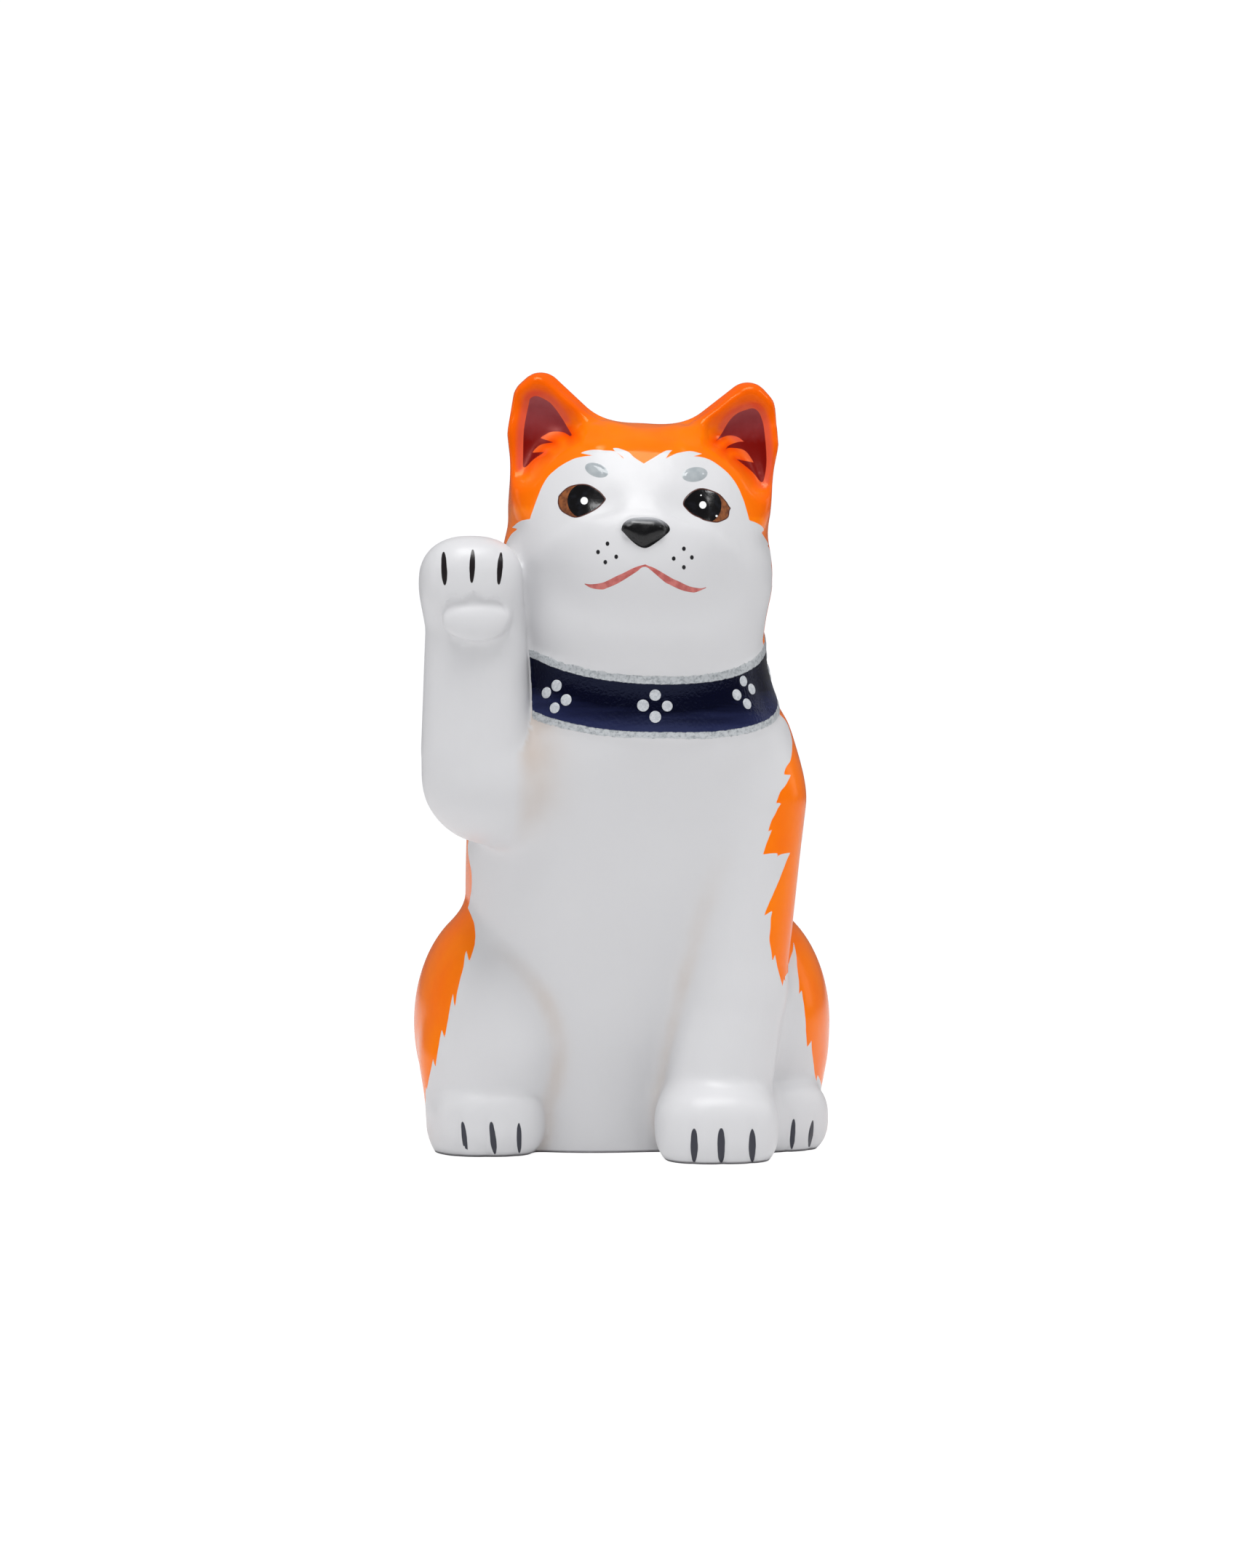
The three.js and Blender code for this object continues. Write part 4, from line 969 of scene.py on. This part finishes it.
def to_halve(a, b):
    long = length(*(skin[a] - skin[b]).T)
    share = np.where(skin[a, 2] > FINER_ABOVE, FINER, COARSER)
    near = (np.maximum(np.abs(modelled[a]), np.abs(modelled[b])) > RELIEF_LEAST) & (long > RELIEF_FINEST)
    for name, least in FINEST.items():
        reach = np.minimum(np.abs(paint[name][a]), np.abs(paint[name][b]))
        near |= (reach < 0.75 * long) & (long > least * share)
    return near


for _ in range(ROUNDS):
    added, faces = split(skin, faces, to_halve)
    added = settle(added, 2, 0.2)
    skin = np.concatenate([skin, added])
    modelled = np.concatenate([modelled, ear_relief(added) + palm_relief(added)])
    more = paint_at(added)
    paint = {name: np.concatenate([depth, more[name]]) for name, depth in paint.items()}
modelled += BROW_HEIGHT * smooth(paint["brows"] + 0.1)

MM = 0.001
points = (skin + outward(skin) * modelled[:, None] - body_middle) * MM
mesh = bpy.data.meshes.new("painted_casting")
mesh.from_pydata(points.tolist(), [], faces.tolist())
mesh.update()
for poly in mesh.polygons:
    poly.use_smooth = True
casting = bpy.data.objects.new("painted_casting", mesh)
bpy.context.scene.collection.objects.link(casting)

# Painted shade: a thin warm tone darkens the white where thigh, foreleg and raised arm meet the body
CREASE_WIDE = 1.8
UNDER_ARM_WIDE = 5.5
UNDER_ARM_SHADE = 1.5


def crease_painted_shade(points):
    p = list(points.T)
    hind = np.minimum.reduce([shape for shape, _ in hind_legs(p)])
    body, leg, arm = trunk(p), foreleg(p), forearm(p)

    def between(a, b):
        return np.exp(-((a - b) ** 2 + np.minimum(a, b) ** 2) / CREASE_WIDE**2)

    thigh = between(hind, body) * smooth((44 - p[2]) / 14) * (p[1] < 4)
    inner = between(leg, body) * smooth((66 - p[2]) / 30) * (p[1] < -6) * (p[0] < 17)
    under_arm = UNDER_ARM_SHADE * np.exp(-((arm / UNDER_ARM_WIDE) ** 2)) * (arm > 0.2)
    under_arm *= smooth((p[0] + 28) / 4) * smooth((p[2] - 58) / 12) * smooth((92 - p[2]) / 6)
    return np.maximum.reduce([thigh, inner, under_arm])


# Painted shade: the ear plates' orange is painted deeper than the skull's. The same measure tells where a
# plate stands off the skull
def ear_shade(points):
    q = mirrored(frame_at(points.T, **HEAD))
    off_skull = pebble(q, (0, 0, 0), **SKULL)
    return smooth((off_skull - 0.5) / 5) * (q[2] > LINING_FOOT) * (points[:, 2] > 100)


paint["crease"] = crease_painted_shade(skin)
paint["ear_shade"] = ear_shade(skin)
for name, depth in paint.items():
    mesh.attributes.new(name, "FLOAT", "POINT").data.foreach_set("value", depth.astype(np.float32))


def linear(hex_colour):
    """sRGB hex to a linear colour"""
    parts = [int(hex_colour[i : i + 2], 16) / 255 for i in (1, 3, 5)]
    return [c / 12.92 if c <= 0.04045 else ((c + 0.055) / 1.055) ** 2.4 for c in parts] + [1]


def add(tree, kind, links=None, out=0, **settings):
    """Adds a node with its settings and its links, input: output or value. Gives one output, or the node."""
    made = tree.nodes.new(kind)
    for name, value in settings.items():
        setattr(made, name, value)
    for name, value in (links or {}).items():
        if isinstance(value, bpy.types.NodeSocket):
            tree.links.new(value, made.inputs[name])
        else:
            made.inputs[name].default_value = value
    return made.outputs[out] if made.outputs and out is not None else made


def uneven(tree, grain, start=0.0, end=1.0, span=(0.3, 0.7), detail=3.0, stretch=(1, 1, 1), rough=0.5):
    """A number that wanders between two over the surface, in patches of a size in mm"""
    place = add(tree, "ShaderNodeTexCoord", out="Object")
    place = add(tree, "ShaderNodeMapping", {"Vector": place, "Scale": stretch})
    cloud = {"Vector": place, "Scale": 1 / (grain * MM), "Detail": detail, "Roughness": rough}
    patches = add(tree, "ShaderNodeTexNoise", cloud)
    ends = {"Value": patches, "From Min": span[0], "From Max": span[1], "To Min": start, "To Max": end}
    return add(tree, "ShaderNodeMapRange", ends)


# Ceramic painted by hand with a brush, under a clear coat: satin on the white, glossier on orange and navy.
# Edges wander a little, each tone is patchy, and the brush and the thickness of the paint catch the light.
# Some coats are painted light and shade: shade in the creases and on the ear plates, a shadow line at the
# foot, reflections in the ears and on the navy, and a highlight on the nose.
satin_paint = bpy.data.materials.new("satin_painted_ceramic")
satin_paint.use_nodes = True
tree = satin_paint.node_tree
tree.nodes.clear()
field = {name: add(tree, "ShaderNodeAttribute", attribute_name=name, out="Fac") for name in paint}
place = add(tree, "ShaderNodeTexCoord", out="Object")
field["up"] = add(tree, "ShaderNodeSeparateXYZ", {0: place}, "Z")
field["specks"] = add(tree, "ShaderNodeTexVoronoi", {"Vector": place, "Scale": 1 / (14 * MM)}, "Distance")
wander = uneven(tree, 2.5, -0.08, 0.08, span=(0, 1), detail=1.0)

# The two edges of the collar's paints are ragged, most so the silver ones
field["from_middle"] = add(tree, "ShaderNodeMath", {0: field["collar"]}, operation="ABSOLUTE")
ragged = uneven(tree, 1.1, -0.45, 0.45, span=(0, 1), rough=0.7)
for name, share in (("silver_edge", 1.0), ("navy_edge", 0.5)):
    sides = {0: ragged, 1: share, 2: field["from_middle"]}
    field[name] = add(tree, "ShaderNodeMath", sides, operation="MULTIPLY_ADD")
for name, share in (("white_coat", 1.0), ("claws", 1.5)):
    sides = {0: wander, 1: share, 2: field[name]}
    field[name] = add(tree, "ShaderNodeMath", sides, operation="MULTIPLY_ADD")

# Where each paint lies: what it follows, where it starts and is full there, mm, and how strong it is
FEATHERED = {"bowl_painted_reflection", "on_plate"}
EDGES = [
    ("on_plate", "ear_shade", 0.2, 0.7, 1.0),
    ("off_plate", "on_plate", 0.6, 0, 0.8),
    ("white", "white_coat", -0.05, 0.05, 1.0),
    ("tufts", "ear_lining", -2.2, -0.1, 1.0),
    # Painted reflection: a paler coral inside the edge of the ear lining, on the plate
    ("bowl_painted_reflection", "ear_lining", -1.9, -0.6, 1.0),
    ("lining", "ear_lining", -0.05, 0.05, 1.0),
    ("off_arm", "arm", 0.05, -0.05, 1.0),
    ("silver", "silver_edge", 5.7, 5.55, 1.0),
    ("navy", "navy_edge", 4.35, 4.2, 1.0),
    ("lids", "eyes", -0.26, -0.16, 1.0),
    ("iris", "eyes", -0.04, 0.04, 1.0),
    ("pupils", "pupils", -0.06, 0.06, 1.0),
    ("glints", "glints", -0.04, 0.04, 1.0),
    ("nose", "nose_lacquer", -0.05, 0.05, 1.0),
    # Painted highlight: a light grey band along the nose's top edge
    ("nose_painted_highlight", "nose_lacquer", 1.5, 0.3, 1.0),
    ("nose_highlight_height", "up", 122.2 * MM, 123.8 * MM, 1.0),
    ("lips", "lips", -0.13, -0.05, 1.0),
    ("brows", "brows", -0.05, 0.05, 1.0),
    ("whiskers", "whiskers", -0.05, 0.05, 1.0),
    ("claws", "claws", -0.05, 0.05, 1.0),
    ("paw_claws", "up", 30 * MM, 50 * MM, 1.0),
    ("specks", "specks", 0.012, 0.008, 0.45),
    # Painted shadow: a dark line round the foot of the figure, where it stands on the table
    ("painted_contact_shadow", "up", 0.6 * MM, 0.2 * MM, 0.8),
]
mask = {"ear_shade": field["ear_shade"]}
for name, follows, start, full, strength in EDGES:
    depth = mask.get(follows, field.get(follows))
    ends = {"Value": depth, "From Min": start, "From Max": full, "To Max": strength}
    ease = "SMOOTHSTEP" if name in FEATHERED else "LINEAR"
    mask[name] = add(tree, "ShaderNodeMapRange", ends, interpolation_type=ease)
LIMITS = [
    ("tufts", "off_plate"), ("bowl_painted_reflection", "on_plate"), ("silver", "off_arm"), ("navy", "off_arm"),
    ("pupils", "iris"), ("nose_painted_highlight", "nose_highlight_height"),
]
for name, limit in LIMITS:
    mask[name] = add(tree, "ShaderNodeMath", {0: mask[name], 1: mask[limit]}, operation="MULTIPLY")

# Two tones of each paint, and what blends them. The paler tones of lining and navy are painted reflections,
# and the nose's paler tone is a painted highlight
crease = {0: field["crease"], 1: uneven(tree, 9, 0.16, 0.34, detail=2.0)}
# Painted reflection: the ear lining is painted paler and greyer towards its top
lining_painted_reflection = uneven(tree, 1.2, 0, 2 * MM, span=(0, 1), detail=2.0)
lining_painted_reflection = add(tree, "ShaderNodeMath", {0: field["up"], 1: lining_painted_reflection}, operation="ADD")
lining_painted_reflection = {"Value": lining_painted_reflection, "From Min": 141.5 * MM, "From Max": 150.5 * MM}
# Painted reflection: the navy is painted lighter in soft streaks along the collar's lower half
navy_painted_sheen = uneven(tree, 4, 0, 5, span=(0, 1), detail=4.0, stretch=(0.3, 0.3, 2.5))
navy_painted_sheen = add(tree, "ShaderNodeMath", {0: navy_painted_sheen, 1: field["collar"]}, operation="ADD")
navy_painted_sheen = {"Value": navy_painted_sheen, "From Min": 2.6, "From Max": -1.5}
tone = {}
for name, dark, light, blend in (
    ("orange", "#FF7E00", "#FC7200", uneven(tree, 9, stretch=(1, 1, 0.6))),
    ("white", "#D3D3D5", "#D5D5D7", uneven(tree, 16, span=(0, 1), detail=2.0)),
    ("lining", "#760400", "#944A50", add(tree, "ShaderNodeMapRange", lining_painted_reflection)),
    ("silver", "#8C9297", "#C3C7CA", uneven(tree, 0.7, span=(0.3, 0.55), rough=0.7)),
    ("navy", "#05061A", "#23284A", add(tree, "ShaderNodeMapRange", navy_painted_sheen)),
    ("iris", "#8F5227", "#5E3016", uneven(tree, 0.9, span=(0.35, 0.65), detail=2.0)),
    ("pupil", "#0A090B", "#1B1D24", uneven(tree, 1.4, span=(0.5, 0.8))),
    # Painted highlight: the nose's paler tone lies along its top edge
    ("nose", "#0B0B0D", "#A6A8AC", mask["nose_painted_highlight"]),
    ("lips", "#B35752", "#C8706A", uneven(tree, 1.5, span=(0.4, 0.6), detail=2.0)),
    ("brow", "#9FA6AA", "#ABB1B4", uneven(tree, 1.6, span=(0.35, 0.65), detail=2.0)),
    ("claw", "#2F303B", "#1A1417", mask["paw_claws"]),
):
    sides = {0: blend, 6: linear(dark), 7: linear(light)}
    tone[name] = add(tree, "ShaderNodeMix", sides, 2, data_type="RGBA")
# Painted shade: the white is mixed towards a warm beige along the creases
warm = {0: add(tree, "ShaderNodeMath", crease, operation="MULTIPLY"), 6: tone["white"], 7: linear("#B79A7C")}
tone["white"] = add(tree, "ShaderNodeMix", warm, 2, data_type="RGBA")

# The coats in the order that they are laid, over orange: roughness, tint of reflections, metal and thickness
navy_gloss = uneven(tree, 3, 0.1, 0.22, span=(0.35, 0.7), stretch=(0.35, 0.35, 2.5))
nose_gloss = uneven(tree, 1.5, 0.22, 0.3, span=(0.35, 0.65))
silver_grain = uneven(tree, 0.6, 0, 0.12 * MM, span=(0, 1))
STROKE = 0.04 * MM
coats = [
    # Painted shade: deeper orange on the ear plates
    dict(on="ear_shade", colour=linear("#F05E00")),
    dict(on="white", colour=tone["white"], shine=uneven(tree, 5, 0.33, 0.41), tint=[1, 1, 1, 1]),
    dict(on="tufts", colour=linear("#E03400")),
    # Painted reflection: pale coral in the ear bowls
    dict(on="bowl_painted_reflection", colour=linear("#E0593C")),
    dict(on="lining", colour=tone["lining"], shine=0.3, tint=[1, 0.35, 0.3, 1]),
    dict(on="silver", colour=tone["silver"], shine=0.36, tint=[1, 1, 1, 1], metal=0.25, thick=silver_grain),
    dict(on="navy", colour=tone["navy"], shine=navy_gloss, tint=[0.3, 0.36, 0.6, 1], metal=0.0),
    dict(on="lids", colour=linear("#4A1C14")),
    dict(on="iris", colour=tone["iris"], thick=STROKE),
    dict(on="pupils", colour=tone["pupil"], shine=0.12),
    dict(on="glints", colour=linear("#F2F2F2")),
    dict(on="nose", colour=tone["nose"], shine=nose_gloss),
    dict(on="lips", colour=tone["lips"], shine=0.3, thick=STROKE),
    dict(on="brows", colour=tone["brow"], shine=0.12),
    dict(on="whiskers", colour=linear("#17161B"), thick=STROKE),
    dict(on="claws", colour=tone["claw"], shine=0.3, thick=STROKE),
    dict(on="specks", colour=linear("#8A8784")),
    # Painted shadow: dark line at the foot of the figure
    dict(on="painted_contact_shadow", colour=linear("#4A454C")),
]
colours = {"colour": tone["orange"], "tint": [1, 0.5, 0.2, 1]}
numbers = {"shine": uneven(tree, 4, 0.17, 0.23), "metal": 0.0}
height = uneven(tree, 1.6, 0, 0.03 * MM, span=(0, 1), stretch=(1, 1, 0.5))
for coat in coats:
    on = mask[coat["on"]]
    for name in colours.keys() & coat.keys():
        sides = {0: on, 6: colours[name], 7: coat[name]}
        colours[name] = add(tree, "ShaderNodeMix", sides, 2, data_type="RGBA")
    for name in numbers.keys() & coat.keys():
        numbers[name] = add(tree, "ShaderNodeMix", {0: on, 2: numbers[name], 3: coat[name]})
    if "thick" in coat:
        height = add(tree, "ShaderNodeMath", {0: on, 1: coat["thick"], 2: height}, operation="MULTIPLY_ADD")
surface = {
    "Base Color": colours["colour"],
    "Roughness": numbers["shine"],
    "Metallic": numbers["metal"],
    "Specular Tint": colours["tint"],
    "IOR": 1.46,
    "Normal": add(tree, "ShaderNodeBump", {"Strength": 1.0, "Distance": 1.0, "Height": height}),
}
add(tree, "ShaderNodeOutputMaterial", {"Surface": add(tree, "ShaderNodeBsdfPrincipled", surface)})
mesh.materials.append(satin_paint)

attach(casting, "root")
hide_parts("beckoning_dog")

# The collar's pattern is dabbed on with thick silver paint: motifs of four dots, one at the chest and the
# others at even steps round the band, each placed by eye. Each dot dries as a low dome.
MOTIF_STEP = 19.9
MOTIF_START = -2.1  # degrees from the chest
MOTIF_LIFT = {-1: -0.65, 0: 0.35, 1: 1.15}
MOTIFS = range(-4, 4)
MOTIF = [(0, 1.8), (2.35, 0), (-2.35, 0), (0, -1.85)]
DOT_RADIUS = 1.12
DOT_HEIGHT = 0.24
DOT_SPREAD = 0.07
DOT_SHIFT = 1.2  # a dot further than this off the skin, or nearer to the arm, would lie under it
BAND_AXIS = (0.0, -8.0)
BAND_REACH = (5.0, 60.0)


def on_band(turn, above):
    """Places on the collar's face at angles from the chest, some mm above the band's middle"""
    inside, outside = np.full(turn.shape, BAND_REACH[0]), np.full(turn.shape, BAND_REACH[1])
    for _ in range(40):
        out = (inside + outside) / 2
        x, y = BAND_AXIS[0] + out * np.sin(turn), BAND_AXIS[1] - out * np.cos(turn)
        z = (above - above_collar([x, y, np.zeros_like(x)])) / math.cos(math.radians(COLLAR["tilt"]))
        far = trunk([x, y, z]) - COLLAR["raised"]
        inside, outside = np.where(far < 0, out, inside), np.where(far < 0, outside, out)
    return np.stack([x, y, z], -1)


turns = np.radians(np.arange(-180, 180.5, 0.5))
band = on_band(turns, np.zeros_like(turns))
along = np.concatenate([[0], np.cumsum(length(*np.diff(band, axis=0).T))])
chest = np.interp(math.radians(MOTIF_START), turns, along)
dots = []
for k in MOTIFS:
    for beside, above in MOTIF:
        turn = np.interp([(chest + MOTIF_STEP * k + beside) % along[-1]], along, turns)
        dots.append(on_band(turn, np.array([above + MOTIF_LIFT.get(k, 0)]))[0])
dots = np.array(dots)
on_skin = settle(dots, 4, 0.4)
dots = on_skin[(length(*(on_skin - dots).T) < DOT_SHIFT) & (forearm(list(on_skin.T)) > DOT_SHIFT)]

dabs = bpy.data.meshes.new("silver_dots")
dabs.from_pydata(((dots - body_middle) * MM).tolist(), [], [])
facing = outward(dots).astype(np.float32)
dabs.attributes.new("facing", "FLOAT_VECTOR", "POINT").data.foreach_set("vector", facing.ravel())
silver_dots = bpy.data.objects.new("silver_dots", dabs)
bpy.context.scene.collection.objects.link(silver_dots)

# Aluminium paint, dabbed and dried: pale, grainy and only a little metallic, so it glints softly
silver_paint = bpy.data.materials.new("dabbed_silver_paint")
silver_paint.use_nodes = True
tree = silver_paint.node_tree
tree.nodes.clear()
GRAIN = dict(grain=0.5, rough=0.7)
sides = {0: uneven(tree, span=(0.35, 0.6), **GRAIN), 6: linear("#B4BAC0"), 7: linear("#D3D6DA")}
grit = uneven(tree, end=0.08 * MM, span=(0, 1), **GRAIN)
bumps = {"Strength": 1.0, "Distance": 1.0, "Height": grit}
surface = {
    "Base Color": add(tree, "ShaderNodeMix", sides, 2, data_type="RGBA"),
    "Roughness": uneven(tree, start=0.36, end=0.5, **GRAIN),
    "Metallic": 0.15,
    "Normal": add(tree, "ShaderNodeBump", bumps),
}
add(tree, "ShaderNodeOutputMaterial", {"Surface": add(tree, "ShaderNodeBsdfPrincipled", surface)})

dabbing = bpy.data.node_groups.new("dabbed_dots", "GeometryNodeTree")
dabbing.interface.new_socket("Geometry", in_out="INPUT", socket_type="NodeSocketGeometry")
INPUTS = {
    "Dot radius": ("NodeSocketFloat", DOT_RADIUS * MM),
    "Dot height": ("NodeSocketFloat", DOT_HEIGHT * MM),
    "Spread": ("NodeSocketFloat", DOT_SPREAD),
    "Paint": ("NodeSocketMaterial", silver_paint),
}
sockets = {
    name: dabbing.interface.new_socket(name, in_out="INPUT", socket_type=kind).identifier
    for name, (kind, _) in INPUTS.items()
}
dabbing.interface.new_socket("Geometry", in_out="OUTPUT", socket_type="NodeSocketGeometry")
given = add(dabbing, "NodeGroupInput", out=None).outputs
flat = {0: given["Dot radius"], 1: given["Dot radius"], 2: given["Dot height"]}
flat = add(dabbing, "ShaderNodeCombineXYZ", flat)
dome = add(dabbing, "GeometryNodeMeshUVSphere", {"Segments": 28, "Rings": 14, "Radius": 1.0})
dome = add(dabbing, "GeometryNodeTransform", {"Geometry": dome, "Scale": flat})
way_out = {"Name": "facing"}
way_out = add(dabbing, "GeometryNodeInputNamedAttribute", way_out, "Attribute", data_type="FLOAT_VECTOR")
turned = add(dabbing, "FunctionNodeAlignRotationToVector", {"Vector": way_out}, axis="Z")
least = add(dabbing, "ShaderNodeMath", {0: 1.0, 1: given["Spread"]}, operation="SUBTRACT")
most = add(dabbing, "ShaderNodeMath", {0: 1.0, 1: given["Spread"]}, operation="ADD")
size = add(dabbing, "FunctionNodeRandomValue", {2: least, 3: most, "Seed": 5}, 1, data_type="FLOAT")
placed = {"Points": given["Geometry"], "Instance": dome, "Rotation": turned, "Scale": size}
placed = add(dabbing, "GeometryNodeInstanceOnPoints", placed)
real = add(dabbing, "GeometryNodeRealizeInstances", {"Geometry": placed})
rounded = add(dabbing, "GeometryNodeSetShadeSmooth", {"Geometry": real})
finished = add(dabbing, "GeometryNodeSetMaterial", {"Geometry": rounded, "Material": given["Paint"]})
add(dabbing, "NodeGroupOutput", {"Geometry": finished})

modifier = silver_dots.modifiers.new("dabbed_dots", "NODES")
modifier.node_group = dabbing
for name, (_, value) in INPUTS.items():
    modifier[sockets[name]] = value
bpy.context.view_layer.update()
evaluated = silver_dots.evaluated_get(bpy.context.evaluated_depsgraph_get())
finished_dots = bpy.data.meshes.new_from_object(evaluated)
silver_dots.modifiers.clear()
silver_dots.data = finished_dots
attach(silver_dots, "root")

# A pale matt table that fades into a white surround, as on a sheet of studio paper. It takes the light as
# paper does and is seen near white.
table_mesh = bpy.data.meshes.new("table")
table_mesh.from_pydata([(-4, -4, 0), (4, -4, 0), (4, 4, 0), (-4, 4, 0)], [], [(0, 1, 2, 3)])
table = bpy.data.objects.new("table", table_mesh)
paper = bpy.data.materials.new("studio_paper")
paper.use_nodes = True
tree = paper.node_tree
tree.nodes.clear()
lit = {"Base Color": (0.9, 0.9, 0.9, 1), "Roughness": 0.7}
seen = {
    "Base Color": (0.16, 0.16, 0.16, 1),
    "Roughness": 0.9,
    "Emission Color": (1, 1, 1, 1),
    "Emission Strength": 0.93,
}
by_camera = add(tree, "ShaderNodeLightPath", out="Is Camera Ray")
lit, seen = (add(tree, "ShaderNodeBsdfPrincipled", sides) for sides in (lit, seen))
sheet = add(tree, "ShaderNodeMixShader", {0: by_camera, 1: lit, 2: seen})
add(tree, "ShaderNodeOutputMaterial", {"Surface": sheet})
table_mesh.materials.append(paper)
bpy.context.scene.collection.objects.link(table)

# The surround fills the shadows, is dim where the figure mirrors it, and is seen white
AMBIENT, MIRRORED, SEEN = 0.65, 0.14, 1.05
SURROUND_WHITE = (0.985, 0.988, 1, 1)
world = bpy.data.worlds.new("studio_surround")
bpy.context.scene.world = world
world.use_nodes = True
tree = world.node_tree
tree.nodes.clear()
ambient, mirrored_white, seen_white = (
    add(tree, "ShaderNodeBackground", {"Color": SURROUND_WHITE, "Strength": strength})
    for strength in (AMBIENT, MIRRORED, SEEN)
)
by_gloss = add(tree, "ShaderNodeLightPath", out="Is Glossy Ray")
by_camera = add(tree, "ShaderNodeLightPath", out="Is Camera Ray")
unseen = add(tree, "ShaderNodeMixShader", {0: by_gloss, 1: ambient, 2: mirrored_white})
surround = add(tree, "ShaderNodeMixShader", {0: by_camera, 1: unseen, 2: seen_white})
add(tree, "ShaderNodeOutputWorld", {"Surface": surround})

# One large softbox above and a little in front, a weak one on either side, and a small lamp for each ear's
# highlights: place, target, width and height in metres, and watts
LAMPS = {
    "key_softbox": ((-0.08, -0.36, 1.15), (0, 0, 0.08), (0.6, 0.45), 7.3),
    "right_ear_lamp": ((0.62, -0.33, 0.82), (0, 0, 0.14), (0.12, 0.12), 0.45),
    "left_ear_lamp": ((-0.34, -0.54, 0.92), (0, 0, 0.14), (0.12, 0.12), 0.45),
    "left_softbox": ((-0.9, 0.1, 0.4), (0, 0, 0.08), (0.25, 0.6), 0.5),
    "right_softbox": ((0.9, 0.1, 0.4), (0, 0, 0.08), (0.25, 0.6), 0.4),
}
for name, (at, target, size, watts) in LAMPS.items():
    light = bpy.data.lights.new(name, "AREA")
    light.shape = "RECTANGLE"
    light.size, light.size_y = size
    light.energy = watts
    lamp = bpy.data.objects.new(name, light)
    lamp.location = at
    lamp.rotation_mode = "QUATERNION"
    lamp.rotation_quaternion = (Vector(target) - Vector(at)).to_track_quat("-Z", "Y")
    bpy.context.scene.collection.objects.link(lamp)

# The camera stands where the front view is drawn from
camera_data = bpy.data.cameras.new("camera")
camera_data.lens = 70.14
camera_data.sensor_width = 36
camera_data.clip_start, camera_data.clip_end = 0.01, 20
camera = bpy.data.objects.new("camera", camera_data)
camera.location = Vector((front_eye - body_middle) * MM)
camera.rotation_mode = "QUATERNION"
camera.rotation_quaternion = Vector(-front_back).to_track_quat("-Z", "Y")
bpy.context.scene.collection.objects.link(camera)
bpy.context.scene.camera = camera
bpy.context.scene.view_settings.view_transform = "Standard"
